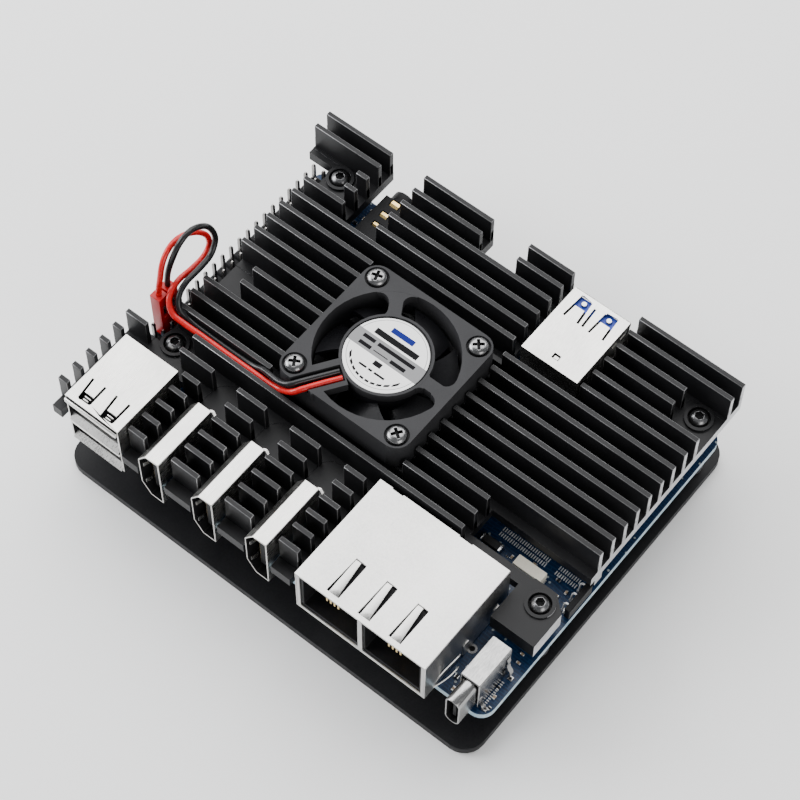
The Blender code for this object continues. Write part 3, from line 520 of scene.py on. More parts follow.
def soften(shape, width, edgeSlot=None, segments=2):  # rounds the sharp edges; width in millimetres
    mesh = shape if isinstance(shape, bpy.types.Mesh) else toMesh(shape)
    holder = tempObject(mesh)
    rounding = holder.modifiers.new("rounding", "BEVEL")
    rounding.width = width * mm
    rounding.segments = segments
    rounding.limit_method = "ANGLE"
    rounding.angle_limit = math.radians(shading["bevelAngle"])
    rounding.use_clamp_overlap = True
    # edgeSlot gives the bevel faces a lighter metal look: a painted highlight along the rounded edges
    if edgeSlot is not None:
        mesh.materials.clear()
        mesh.materials.append(finish("blackAnodised"))
        mesh.materials.append(finish("edgeHighlight"))
        rounding.material = edgeSlot
    return bake(holder)


def softBoxes(look, width, *sizes):  # boxes with rounded edges in one finish
    return soften(boxes(*sizes), width), look


def bentStrip(look, points, width, thick, wide=(1, 0, 0)):
    return strip(points, width, thick, wide), look


def cutAway(shape, cutter, work="DIFFERENCE"):
    holder = tempObject(shape if isinstance(shape, bpy.types.Mesh) else toMesh(shape))
    knife = tempObject(toMesh(cutter))
    cut = holder.modifiers.new("cut", "BOOLEAN")
    cut.operation, cut.solver, cut.object = work, "EXACT", knife
    mesh = bake(holder)
    bpy.data.objects.remove(knife)
    return mesh


def cadCopy(name):  # the node's mesh, welded, with its flat faces whole again
    bm = bmesh.new()
    bm.from_mesh(nodes[name].data)
    bmesh.ops.remove_doubles(bm, verts=bm.verts, dist=2e-6)
    bmesh.ops.dissolve_limit(bm, angle_limit=math.radians(1.0), verts=bm.verts, edges=bm.edges)
    return bm


def isNarrow(face):
    return face.calc_area() < shading["narrow"] * mm * max(edge.calc_length() for edge in face.edges)


def isFlat(face):  # a wide face is flat unless a wide neighbour carries on round a curve
    others = [other for edge in face.edges for other in edge.link_faces if other is not face]
    turns = [face.normal.angle(other.normal, 0) for other in others]
    if max(abs(part) for part in face.normal) > shading["level"]:
        broad = face.calc_area() > shading["broad"] * mm * mm
        if broad or min(turns, default=1) < math.radians(shading["together"]):
            return True
    if isNarrow(face):
        return False
    least, most = math.radians(shading["least"]), math.radians(shading["most"])
    return not any(least < turn < most and not isNarrow(other) for turn, other in zip(turns, others))


def assemble(name, chunks, replaced, body="computer", smoothAngle=36):
    whole, looks = bmesh.new(), []
    for shape, *names in chunks:
        mesh = shape if isinstance(shape, bpy.types.Mesh) else toMesh(shape)
        for look in names:
            if look not in looks:
                looks.append(look)
        start = len(whole.faces)
        whole.from_mesh(mesh)
        whole.faces.ensure_lookup_table()
        for face in whole.faces[start:]:
            face.material_index = looks.index(names[min(face.material_index, len(names) - 1)])
    whole.normal_update()
    flats = [isFlat(face) for face in whole.faces]
    mesh = toMesh(whole)
    mesh.name = name
    for look in looks:
        mesh.materials.append(finish(look))
    mesh.set_sharp_from_angle(angle=math.radians(smoothAngle))
    for face, flat in zip(mesh.polygons, flats):
        face.use_smooth = not flat
    piece = bpy.data.objects.new(name, mesh)
    scene.collection.objects.link(piece)
    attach(piece, body)
    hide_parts(*replaced)
    return piece


# Geometry Nodes: rows of small bars, parts set on points, and the heatsink's fins


def startTree(name, sockets):
    tree = bpy.data.node_groups.new(name, "GeometryNodeTree")
    tree.interface.new_socket("Geometry", in_out="INPUT", socket_type="NodeSocketGeometry")
    for label, kind in sockets:
        tree.interface.new_socket(label, in_out="INPUT", socket_type="NodeSocket" + kind)
    tree.interface.new_socket("Geometry", in_out="OUTPUT", socket_type="NodeSocketGeometry")
    return tree, tree.nodes.new("NodeGroupInput"), tree.nodes.new("NodeGroupOutput")


def endTree(tree, group, last, output):
    real = node(tree, "GeometryNodeRealizeInstances")
    colour = node(tree, "GeometryNodeSetMaterial")
    tree.links.new(last, real.inputs[0])
    tree.links.new(real.outputs[0], colour.inputs["Geometry"])
    tree.links.new(group.outputs["Finish"], colour.inputs["Material"])
    tree.links.new(colour.outputs[0], output.inputs[0])
    return tree


def makeBarRow():
    tree, group, output = startTree("barRow", [("Count", "Int"), ("Pitch", "Vector"), ("Size", "Vector"),
                                               ("Finish", "Material")])
    line = node(tree, "GeometryNodeMeshLine", mode="OFFSET")
    cube = node(tree, "GeometryNodeMeshCube")
    spread = node(tree, "GeometryNodeInstanceOnPoints")
    tree.links.new(group.outputs["Count"], line.inputs["Count"])
    tree.links.new(group.outputs["Pitch"], line.inputs["Offset"])
    tree.links.new(group.outputs["Size"], cube.inputs["Size"])
    tree.links.new(line.outputs[0], spread.inputs["Points"])
    tree.links.new(cube.outputs["Mesh"], spread.inputs["Instance"])
    return endTree(tree, group, spread.outputs[0], output)


def makeSetOnPoints():
    tree, group, output = startTree("setOnPoints", [("Part", "Object"), ("Scale", "Float"),
                                                    ("Finish", "Material")])
    part = node(tree, "GeometryNodeObjectInfo")
    turn = node(tree, "GeometryNodeInputNamedAttribute", data_type="FLOAT")
    turn.inputs["Name"].default_value = "turn"
    angles = node(tree, "ShaderNodeCombineXYZ")
    spread = node(tree, "GeometryNodeInstanceOnPoints")
    tree.links.new(group.outputs["Part"], part.inputs["Object"])
    tree.links.new(turn.outputs["Attribute"], angles.inputs["Z"])
    tree.links.new(group.outputs["Geometry"], spread.inputs["Points"])
    tree.links.new(part.outputs["Geometry"], spread.inputs["Instance"])
    tree.links.new(angles.outputs[0], spread.inputs["Rotation"])
    tree.links.new(group.outputs["Scale"], spread.inputs["Scale"])
    return endTree(tree, group, spread.outputs[0], output)


def makeFinRow():
    tree, group, output = startTree("finRow", [("Thickness", "Float"), ("Height", "Float"),
                                               ("Finish", "Material")])
    runs = node(tree, "GeometryNodeMeshToCurve")
    upright = node(tree, "GeometryNodeSetCurveNormal", mode="Z_UP")
    outline = node(tree, "GeometryNodeCurvePrimitiveQuadrilateral")
    half = node(tree, "ShaderNodeMath", operation="MULTIPLY")
    half.inputs[1].default_value = 0.5
    rise = node(tree, "ShaderNodeCombineXYZ")
    lift = node(tree, "GeometryNodeSetPosition")
    sweep = node(tree, "GeometryNodeCurveToMesh")
    sweep.inputs["Fill Caps"].default_value = True
    tree.links.new(group.outputs["Geometry"], runs.inputs[0])
    tree.links.new(runs.outputs[0], upright.inputs["Curve"])
    tree.links.new(group.outputs["Thickness"], outline.inputs["Width"])
    tree.links.new(group.outputs["Height"], outline.inputs["Height"])
    tree.links.new(group.outputs["Height"], half.inputs[0])
    tree.links.new(half.outputs[0], rise.inputs["Z"])
    tree.links.new(upright.outputs[0], sweep.inputs["Curve"])
    tree.links.new(outline.outputs[0], sweep.inputs["Profile Curve"])
    tree.links.new(sweep.outputs[0], lift.inputs["Geometry"])
    tree.links.new(rise.outputs[0], lift.inputs["Offset"])
    return endTree(tree, group, lift.outputs[0], output)


trees = {"barRow": makeBarRow(), "setOnPoints": makeSetOnPoints(), "finRow": makeFinRow()}


def useTree(name, mesh, rounded=0.0, **values):
    tree = trees[name]
    holder = tempObject(mesh)
    work = holder.modifiers.new(name, "NODES")
    work.node_group = tree
    for item in tree.interface.items_tree:
        if item.in_out == "INPUT" and item.name in values:
            work[item.identifier] = values[item.name]
    if rounded:
        soft = holder.modifiers.new("rounding", "BEVEL")
        soft.width, soft.segments = rounded * mm, 1
    return bake(holder)


def barRow(count, start, pitch, size, look, rounded=0.0):  # bars centred on start, start + pitch, ...
    mesh = useTree("barRow", bpy.data.meshes.new("row"), rounded, Count=count,
                   Pitch=tuple(v * mm for v in pitch), Size=tuple(v * mm for v in size), Finish=finish(look))
    mesh.transform(Matrix.Translation(at(*start)))
    return mesh, look


def setOnPoints(part, places, look, scale=1.0):  # places are (x, y, z, turn)
    mesh = bpy.data.meshes.new("points")
    mesh.from_pydata([at(x, y, z) for x, y, z, turn in places], [], [])
    turns = mesh.attributes.new("turn", "FLOAT", "POINT")
    for i, (x, y, z, turn) in enumerate(places):
        turns.data[i].value = turn
    holder = tempObject(part)
    result = useTree("setOnPoints", mesh, Part=holder, Scale=scale, Finish=finish(look))
    bpy.data.objects.remove(holder)
    return result, look


def localMesh(shape):  # a part shaped round the board's origin, moved to the true one
    mesh = toMesh(shape)
    mesh.transform(Matrix.Translation(-origin))
    return mesh


print("tools ready")

# Fan lead: two insulated wires from the hub to a plug on the pin header

lead = {"thick": 1.2, "layer": 17.3, "redStart": (-8.4, -6.1), "blackStart": (-9.8, -5.3), "pinPitch": 2.54,
        "pinRows": (17, 18), "overPlug": 0.3, "spacing": 2.6, "drawn": 0.5, "sides": 14, "samples": 16,
        "windowDeep": 0.22, "windowSpans": ((-1.75, -0.75), (0.75, 1.75)), "windowHigh": (9.2, 13.4),
        "clipHigh": (9.8, 12.6), "clipShifts": (-1.25, 1.25), "groove": 0.12, "grooveHigh": (14.3, 17)}
redRoute = [(-10.6, -9.3, 17.3), (-12.7, -12.6, 17.3), (-13.9, -13.8, 16.6), (-15.6, -14.0, 15.3),
            (-17.9, -13.9, 14.0), (-22.0, -13.9, 13.4), (-30.0, -13.9, 13.3), (-37.0, -13.9, 13.4),
            (-41.0, -14.1, 13.8), (-43.6, -14.1, 14.5), (-45.7, -12.6, 16.0), (-46.4, -9.3, 17.2),
            (-46.6, -5.0, 16.4), (-46.9, -1.4, 15.9), (-47.2, 0.8, 17.2), (-47.5, 0.9, 19.8),
            (-48.0, -0.4, 22.1), (-48.5, -2.2, 23.6), (-48.9, -4.4, 24.6), (-49.0, -6.8, 24.9),
            (-48.8, -9.1, 24.1), (-48.4, -10.9, 22.4), (-48.0, -12.1, 20.0), (-47.92, -12.8, 17.8)]
blackRoute = [(-11.9, -8.4, 17.3), (-14.2, -11.8, 17.3), (-15.4, -13.2, 17.0), (-17.6, -13.5, 15.9),
              (-20.2, -13.0, 14.9), (-22.6, -12.55, 13.9), (-25.4, -12.55, 12.8), (-31.0, -12.55, 12.5),
              (-37.0, -12.55, 12.6), (-40.6, -12.6, 13.1), (-43.0, -12.65, 14.7), (-44.3, -11.3, 16.5),
              (-44.8, -8.6, 17.6), (-44.9, -4.2, 17.6), (-45.2, -0.8, 17.9), (-45.8, 1.3, 20.3),
              (-46.4, 0.7, 23.9), (-46.8, -1.2, 26.2), (-47.0, -3.9, 27.5), (-47.1, -6.7, 26.7),
              (-47.4, -8.7, 23.8), (-47.8, -9.9, 20.4), (-47.92, -10.4, 17.8)]


def smoothRoute(points, spacing):  # even points along a smooth curve through the given ones
    dense = []
    ends = [points[0]] + points + [points[-1]]
    for a, b, c, d in zip(ends, ends[1:], ends[2:], ends[3:]):
        for i in range(lead["samples"]):
            t = i / lead["samples"]
            dense.append(0.5 * (2 * b + (c - a) * t + (2 * a - 5 * b + 4 * c - d) * t * t
                                + (3 * b - a - 3 * c + d) * t ** 3))
    dense.append(points[-1])
    length = sum((q - p).length for p, q in zip(dense, dense[1:]))
    count = max(2, round(length / spacing))
    even, walked, target = [dense[0]], 0.0, length / count
    for p, q in zip(dense, dense[1:]):
        step = (q - p).length
        while walked + step >= target - 1e-12 and len(even) < count:
            even.append(p.lerp(q, (target - walked) / step))
            target += length / count
        walked += step
    even.append(dense[-1])
    return even


def buildPlug(low, high):
    depth = (low.y + high.y) / 2
    walls = ((low.x - 1, low.x + lead["windowDeep"]), (high.x - lead["windowDeep"], high.x + 1))
    windows = [(*wall, depth + near, depth + far, *lead["windowHigh"])
               for wall in walls for near, far in lead["windowSpans"]]
    groove = (low.x - 1, high.x + 1, depth - lead["groove"], depth + lead["groove"], *lead["grooveHigh"])
    body = soften(cutAway(cadCopy("fan_plug"), boxes(*windows, groove)), 0.16)
    clips = [(x - 0.05, x + 0.05, depth + shift - 0.32, depth + shift + 0.32, *lead["clipHigh"])
             for x in (low.x + 0.26, high.x - 0.26) for shift in lead["clipShifts"]]
    return assemble("fanPlug", [(body, "redMoulded"), softBoxes("solder", 0.04, *clips)], ["fan_plug"])


def buildLead():
    headerLow, headerHigh = nodeBox("pin_header")
    plugLow, plugHigh = nodeBox("fan_plug")
    pinX = headerLow.x + lead["pinPitch"] / 2
    pinY = [headerHigh.y - lead["pinPitch"] / 2 - lead["pinPitch"] * row for row in lead["pinRows"]]
    top = plugHigh.z + lead["overPlug"]
    plug = buildPlug(plugLow, plugHigh)
    for name, replaced, look, slot, start, route, y in (
            ("wireRed", "wire_red", "redSleeve", "red_wire", lead["redStart"], redRoute, pinY[1]),
            ("wireBlack", "wire_black", "blackSleeve", "black_wire", lead["blackStart"], blackRoute,
             pinY[0])):
        points = [at(*start, lead["layer"])] + [at(*p) for p in route] + [at(pinX, y, top)]
        even = smoothRoute(points, lead["spacing"] * lead["thick"] * mm)
        drawn = smoothRoute(points, lead["drawn"] * lead["thick"] * mm)
        sleeve = tube(drawn, lead["thick"] / 2 * mm, lead["sides"])
        wire = assemble(name, [(sleeve, look)], [replaced])
    print("fan lead")


# Heatsink: its base from the solid, its full-height fins swept along their runs

sink = {"finThick": 1.04, "stubTop": 10.75, "finFoot": 7.6, "edge": 0.12, "finTopShare": 0.2,
        "endReach": 0.3, "armEnd": 45.0, "armBack": -12.0}


def finRuns(high):  # the flat tops of the full-height fins as (left, right, y)
    bm = cadCopy("heatsink")
    runs = []
    for face in bm.faces:
        spots = [(v.co - origin) / mm for v in face.verts]
        if face.normal.z > 0.99 and min(p.z for p in spots) > high - sink["finTopShare"]:
            xs, ys = [p.x for p in spots], [p.y for p in spots]
            runs.append((min(xs), max(xs), (min(ys) + max(ys)) / 2))
    bm.free()
    return runs


def buildHeatsink():
    high = nodeBox("heatsink")[1]
    base = cadCopy("heatsink")
    bmesh.ops.bisect_plane(base, geom=base.verts[:] + base.edges[:] + base.faces[:],
                           plane_co=at(0, 0, sink["stubTop"]), plane_no=(0, 0, 1), clear_outer=True)
    bmesh.ops.holes_fill(base, edges=[e for e in base.edges if e.is_boundary], sides=0)
    base = soften(base, sink["edge"], edgeSlot=1)
    runs = finRuns(high.z)
    lines = bpy.data.meshes.new("finRuns")
    lines.from_pydata([at(x, y, sink["finFoot"]) for left, right, y in runs for x in (left, right)],
                      [(2 * i, 2 * i + 1) for i in range(len(runs))], [])
    fins = useTree("finRow", lines, Thickness=sink["finThick"] * mm, Height=(high.z - sink["finFoot"]) * mm,
                   Finish=finish("blackAnodised"))
    fins = soften(fins, sink["edge"], edgeSlot=1)
    # the right-facing end faces of the fins and base, and the arm's right face, take the lighter third look:
    # a painted highlight
    limit = high.x - sink["endReach"]
    for mesh in (base, fins):
        for face in mesh.polygons:
            spot = (face.center - origin) / mm
            onArm = spot.x > sink["armEnd"] and spot.y < sink["armBack"]
            if face.normal.x > 0.9 and (spot.x > limit or onArm):
                face.material_index = 2
    looks = ("blackAnodised", "edgeHighlight", "endHighlight")
    assemble("heatsinkBody", [(base, *looks), (fins, *looks)], ["heatsink"])
    print("heatsink with", len(runs), "fin runs")


# Fan

fan = {"blades": 7, "bladeSweep": 40, "bladeLean": 14, "bladeRoot": 8.1, "bladeReach": 5.5,
       "bladeThick": 0.55, "bladeLow": 0.5, "bladeTop": 15.0, "bladeRows": 7, "bladeSteps": 9,
       "bladeBow": 0.25, "bladeShort": 0.3, "hubRadius": 8.6, "hubWall": 1.0, "hubFloor": 1.2,
       "shaft": [(0.75, 15.5), (0.65, 15.6), (0, 15.6)],
       "coil": [(2.95, 13.0), (7.0, 13.0), (7.15, 13.2), (7.15, 15.2), (7.0, 15.35), (2.95, 15.35),
                (2.95, 13.0)],
       "labelRadius": 8.2, "labelThick": 0.15, "headRadius": 2.0, "struts": (0, 120), "strutHalf": 1.3,
       "strutUnder": 15.9, "strutDrop": 0.02, "bite": 0.4,
       "fillets": ((14.1, 2.0, -1), (9.0, 1.1, 1))}  # ring radius, bend, -1 inside the ring or 1 outside it


def fanCentre():
    low, high = nodeBox("fan_frame")
    return (low.x + high.x) / 2, (low.y + high.y) / 2, high.z


def makeBlades(x, y, low):
    bm = bmesh.new()
    rows, steps = fan["bladeRows"], fan["bladeSteps"]
    for number in range(fan["blades"]):
        start = math.tau * number / fan["blades"]
        grid = []
        for i in range(steps):
            along = i / (steps - 1)
            line = []
            for j in range(rows):
                out = j / (rows - 1)
                radius = fan["bladeRoot"] + out * fan["bladeReach"]
                angle = start + math.radians(fan["bladeSweep"]) * along + math.radians(fan["bladeLean"]) * out
                foot = low + fan["bladeLow"] + fan["bladeBow"] * math.sin(math.pi * along)
                line.append(bm.verts.new(at(x + radius * math.cos(angle), y + radius * math.sin(angle),
                                            foot + (fan["bladeTop"] - foot - fan["bladeShort"]) * along)))
            grid.append(line)
        for i in range(steps - 1):
            for j in range(rows - 1):
                bm.faces.new([grid[i][j], grid[i + 1][j], grid[i + 1][j + 1], grid[i][j + 1]])
    bmesh.ops.recalc_face_normals(bm, faces=bm.faces)
    bmesh.ops.solidify(bm, geom=bm.faces[:], thickness=fan["bladeThick"] * mm)
    bmesh.ops.recalc_face_normals(bm, faces=bm.faces)
    return bm


def strutFillet(angle, side, radius, bend, away):  # the rounded corner of a strut where it meets a ring
    half, bite = fan["strutHalf"], fan["bite"]
    reach = radius + bend * away
    across = half + bend
    along = math.sqrt(reach * reach - across * across)
    meet = (along * radius / reach, across * radius / reach)
    turns = [math.atan2(v - across, u - along) for u, v in ((along, half), meet)]
    turns[1] += math.tau * round((turns[0] - turns[1]) / math.tau)
    curve = [(along + bend * math.cos(turn), across + bend * math.sin(turn))
             for turn in (turns[0] + (turns[1] - turns[0]) * i / 6 for i in range(7))]
    into = (radius - bite * away) / radius
    inner = math.sqrt(radius * radius - half * half) - bite * away
    outline = curve + [(meet[0] * into, meet[1] * into), (inner, half - bite), (along, half - bite)]
    c, s = math.cos(angle), math.sin(angle)
    return [(u * c - v * side * s, u * s + v * side * c) for u, v in outline]


def buildHousing(x, y, high):
    housing = cadCopy("fan_frame")
    for angle in fan["struts"]:
        for side in (-1, 1):
            for fillet in fan["fillets"]:
                outline = [(x + u, y + v) for u, v in strutFillet(math.radians(angle), side, *fillet)]
                corner = prism(outline, fan["strutUnder"], high - fan["strutDrop"])
                housing = cutAway(housing, corner, "UNION")
    assemble("fanHousing", [(soften(housing, 0.14), "fanGrey")], ["fan_frame"])


def buildFan():
    x, y, high = fanCentre()
    buildHousing(x, y, high)
    low, top = (corner.z for corner in nodeBox("fan_rotor"))
    r = fan["hubRadius"]
    wall, floor = r - fan["hubWall"], low + fan["hubFloor"]
    cup = lathe(x, y, [(0, low), (r - 0.5, low), (r - 0.14, low + 0.15), (r, low + 0.5), (r, top - 0.12),
                       (r - 0.12, top), (wall, top), (wall, floor), (fan["shaft"][0][0], floor)]
                + fan["shaft"], 64)
    assemble("fanRotor", [(cup, "bladeBlack"), (makeBlades(x, y, low), "bladeBlack")], ["fan_rotor"],
             "fan_rotor", 50)
    r, under = fan["labelRadius"], high - fan["labelThick"]
    paper = lathe(x, y, [(0, under), (r, under), (r, high - 0.03), (r - 0.04, high), (0, high)], 80)
    assemble("fanLabel", [(paper, "printedLabel")], ["fan_label"])
    assemble("fanStator", [(lathe(x, y, fan["coil"], 48), "copperWire")], ["fan_stator"])
    sleeve = soften(cadCopy("fan_bearing"), 0.12)
    assemble("fanBearing", [(sleeve, "turnedBrass")], ["fan_bearing"])
    print("fan")


# Screws: one part of each kind, set on its points

screws = {"fanTurns": (0.55, 0.95, 0.30, 0.70), "cornerTurns": (0.2, 0.7, 0.4, 0.9), "cross": 1.15,
          "crossHalf": 0.30, "crossDeep": 0.85, "threadPitch": 0.4, "threadCrest": 1.1, "threadRoot": 0.92,
          "capRadius": 1.85, "hexRadius": 0.95, "hexShadow": 0.94,
          "panHead": ((0.2, 1.5), (0, 1.3), (0, 0.95), (0.12, 0.6), (0.45, 0.28), (1.0, 0.07)),
          "capHead": (2.0, 0, ((0, 1.0), (0.12, 0.62), (0.4, 0.26), (0.8, 0.06), (0.9, 0))),
          "flatHead": (0.8, 0.3, ((0, 0.3), (0, 0.06), (0.06, 0)))}  # height, foot inset, insets and drops
corners = ("front_left", "front_right", "back_left", "back_right")


def threadProfile(low, high):
    profile, z, crest = [(0, low), (screws["threadRoot"] * 0.8, low)], low + 0.15, True
    while z < high - 0.2:
        profile.append((screws["threadCrest"] if crest else screws["threadRoot"], z))
        z += screws["threadPitch"] / 2
        crest = not crest
    return profile + [(screws["threadRoot"], high), (0, high)]


def nodeSpots(prefix, turns):
    spots = []
    for corner, turn in zip(corners, turns):
        low, high = nodeBox(prefix + corner)
        spots.append(((low.x + high.x) / 2, (low.y + high.y) / 2, 0, turn))
    return spots


def buildFanScrews():
    low, high = nodeBox("fan_screw_front_left")
    top, r = high.z, fan["headRadius"]
    under = top - screws["panHead"][0][1]
    head = lathe(0, 0, [(0, under)] + [(r - inset, top - drop) for inset, drop in screws["panHead"]]
                 + [(0, top)], 36)
    a, b, deep = screws["cross"], screws["crossHalf"], screws["crossDeep"]
    head = cutAway(head, boxes((-a, a, -b, b, top - deep, top + 1)))
    head = soften(cutAway(head, boxes((-b, b, -a, a, top - deep, top + 1))), 0.05)
    head.transform(Matrix.Translation(-origin))
    a, b = a - 0.05, b - 0.03
    shadow = boxes((-a, a, -b, b, top - 0.9, top - 0.8), (-b, b, -a, a, top - 0.9, top - 0.79))
    shank = lathe(0, 0, threadProfile(low.z, top - 1.45), 16)
    spots = nodeSpots("fan_screw_", screws["fanTurns"])
    assemble("fanScrews", [setOnPoints(head, spots, "platedScrew"),
                           setOnPoints(localMesh(shadow), spots, "socketShadow"),
                           setOnPoints(localMesh(shank), spots, "platedScrew")],
             ["fan_screw_" + c for c in corners])


def capScrew(top, end, tall, footInset, shape):  # the head, the shadow in its socket and the shank
    r, up = screws["capRadius"], 1 if top > end else -1
    foot = top - tall * up
    outline = [(0, foot), (r - footInset, foot)] + [(r - inset, top - drop * up) for inset, drop in shape]
    outline.append((0, top))
    head = lathe(0, 0, outline if up > 0 else outline[::-1], 36)
    across, turns = screws["hexRadius"], [math.tau * i / 6 for i in range(6)]
    hexagon = [(across * math.cos(turn), across * math.sin(turn)) for turn in turns]
    level = top - min(1.0, tall * 0.6) * up
    head = soften(cutAway(head, prism(hexagon, *sorted((top + up, level)))), 0.05)
    head.transform(Matrix.Translation(-origin))
    small = [(a * screws["hexShadow"], b * screws["hexShadow"]) for a, b in hexagon]
    shadow = localMesh(prism(small, level - 0.04, level + 0.04))
    shank = localMesh(lathe(0, 0, threadProfile(min(end, foot), max(end, foot)), 16))
    return head, shadow, shank


def buildCornerScrews():
    looks = ("darkScrew", "socketShadow", "darkScrew")
    for name, prefix, upper in (("boardScrews", "screw_upper_", True),
                                ("plateScrews", "screw_lower_", False)):
        low, high = nodeBox(prefix + corners[0])
        top, end = (high.z, low.z) if upper else (low.z, high.z)
        parts = capScrew(top, end, *screws["capHead" if upper else "flatHead"])
        spots = nodeSpots(prefix, screws["cornerTurns"])
        assemble(name, [setOnPoints(part, spots, look) for part, look in zip(parts, looks)],
                 [prefix + c for c in corners])
    posts = [(soften(cadCopy("standoff_" + c), 0.2), "greyPost") for c in corners]
    assemble("standoffs", posts, ["standoff_" + c for c in corners])
    print("screws and standoffs")


# Plate and board

board = {
    "plateEdge": 0.35, "boardEdge": 0.08, "padRows": ((29.3, 40.0, -5.2), (42.3, 47.0, -5.2)),
    "padPitch": 0.50, "padShifts": (-0.62, 0.62), "padSize": (0.22, 0.90, 0.06), "capShare": 0.24,
    "vias": ((39.6, -27.7),), "viaRing": ((0.55, 0.0), (1.0, 0.0), (1.0, 0.05), (0.55, 0.05), (0.55, 0.0)),
    "viaHole": ((0, 0.005), (0.55, 0.005), (0.55, 0.02), (0, 0.02)),
    "chips": (  # x, y, width, depth, height, brown or black
        (45.2, -9.6, 1.0, 0.5, 0.4, 1), (46.2, -8.0, 0.5, 1.0, 0.4, 1), (43.6, -6.9, 1.0, 0.5, 0.4, 0),
        (34.0, -8.5, 0.5, 0.9, 0.35, 1), (33.2, -8.9, 0.4, 0.4, 0.3, 0), (47.4, -22.9, 0.9, 0.45, 0.35, 1),
        (47.9, -24.7, 0.9, 0.45, 0.35, 1), (48.1, -30.9, 0.5, 0.9, 0.4, 0), (48.6, -32.8, 0.5, 0.9, 0.4, 1),
        (49.2, -35.1, 0.5, 0.8, 0.4, 0), (41.5, -31.2, 1.0, 0.5, 0.4, 1), (42.2, -25.8, 1.6, 0.8, 0.7, 1),
        (40.9, -33.9, 0.9, 0.7, 0.5, 0), (41.8, -36.1, 0.5, 1.0, 0.4, 1), (44.9, -25.4, 0.5, 1.0, 0.4, 0),
        (-35.4, 33.2, 0.5, 1.0, 0.4, 1), (-36.2, 31.4, 1.0, 0.5, 0.4, 0), (-35.2, 35.6, 1.0, 0.5, 0.4, 1),
        (-24.6, 34.2, 1.0, 0.5, 0.4, 1), (29.4, -10.9, 1.0, 0.5, 0.4, 1), (38.2, -7.0, 1.0, 0.5, 0.4, 1))}


def smallParts():  # ceramic and black parts with bright ends
    bodies = {"ceramic": bmesh.new(), "chipBlack": bmesh.new(), "solder": bmesh.new()}
    for x, y, wide, deep, tall, brown in board["chips"]:
        longX = wide >= deep
        half = (wide / 2, deep / 2)
        cap = board["capShare"] * max(wide, deep)
        inner = (half[0] - cap, half[1]) if longX else (half[0], half[1] - cap)
        body = bodies["ceramic" if brown else "chipBlack"]
        addBox(body, x - inner[0], x + inner[0], y - inner[1], y + inner[1], 0.02, tall)
        for side in (-1, 1):
            if longX:
                ends = sorted((x + side * inner[0], x + side * half[0]))
                addBox(bodies["solder"], *ends, y - half[1] - 0.02, y + half[1] + 0.02, 0.01, tall + 0.03)
            else:
                ends = sorted((y + side * inner[1], y + side * half[1]))
                addBox(bodies["solder"], x - half[0] - 0.02, x + half[0] + 0.02, *ends, 0.01, tall + 0.03)
    return [(soften(bm, 0.05, segments=1), look) for look, bm in bodies.items()]


def buildBoard():
    plate = soften(cadCopy("bottom_plate"), board["plateEdge"], segments=3)
    assemble("bottomPlate", [(plate, "blackPowder")], ["bottom_plate"])
    sheet = soften(cadCopy("main_board"), board["boardEdge"])
    for face in sheet.polygons:
        face.material_index = 0 if abs(face.normal.z) > 0.6 else 1
    chunks = [(sheet, "blueBoard", "boardEdge")] + smallParts()
    pitch = board["padPitch"]
    for left, right, y in board["padRows"]:
        count = round((right - left) / pitch) + 1
        for shift in board["padShifts"]:
            chunks.append(barRow(count, (left, y + shift, 0.02), (pitch, 0, 0), board["padSize"], "tinned"))
    for x, y in board["vias"]:
        chunks.append((lathe(x, y, board["viaRing"], 28), "darkScrew"))
        chunks.append((lathe(x, y, board["viaHole"], 20), "socketShadow"))
    chunks.append(barRow(12, (48.05, -35.0, 0.05), (0, 0.5, 0), (0.5, 0.2, 0.08), "tinned"))
    chunks.append(barRow(9, (-12.0, -8.1, 0.04), (2.0, 0, 0), (1.2, 0.6, 0.08), "solder"))
    assemble("mainBoard", chunks, ["main_board"])
    print("plate and board")


# Pin header and side header

header = {"pitch": 2.54, "rows": 20, "columns": 2, "side": 0.64, "tip": 0.5, "blockTop": 2.8,
          "blockEdge": 0.32,
          "sideRows": 3, "legRadius": 0.22,
          "joint": ((0, 0.0), (0.6, 0.0), (0.5, 0.12), (0.36, 0.3), (0, 0.32))}


def pinShape(low, high, side, tip):
    half, small = side / 2, side / 4
    square = ((-1, -1), (1, -1), (1, 1), (-1, 1))
    bm = bmesh.new()
    rings = []
    for size, z in ((small, low), (half, low + tip), (half, high - tip), (small, high)):
        rings.append([bm.verts.new(at(a * size, b * size, z)) for a, b in square])
    for first, second in zip(rings, rings[1:]):
        for i in range(4):
            bm.faces.new([first[i], first[(i + 1) % 4], second[(i + 1) % 4], second[i]])
    bm.faces.new(rings[0][::-1])
    bm.faces.new(rings[-1])
    return bm


def buildPinHeader():
    low, high = nodeBox("pin_header")
    pitch, blockTop, seat = header["pitch"], header["blockTop"], low.z
    startX, startY = low.x + pitch / 2, high.y - pitch / 2
    block = barRow(header["rows"], (startX + pitch / 2, startY, (blockTop + seat) / 2), (0, -pitch, 0),
                   (pitch * 2 - 0.02, pitch - 0.01, blockTop - seat), "blackMoulded", header["blockEdge"])
    spots = [(startX + pitch * c, startY - pitch * r, 0, 0)
             for c in range(header["columns"]) for r in range(header["rows"])]
    pin = localMesh(pinShape(seat + 0.2, high.z, header["side"], header["tip"]))
    assemble("pinHeader", [block, setOnPoints(pin, spots, "pinMetal")], ["pin_header"])


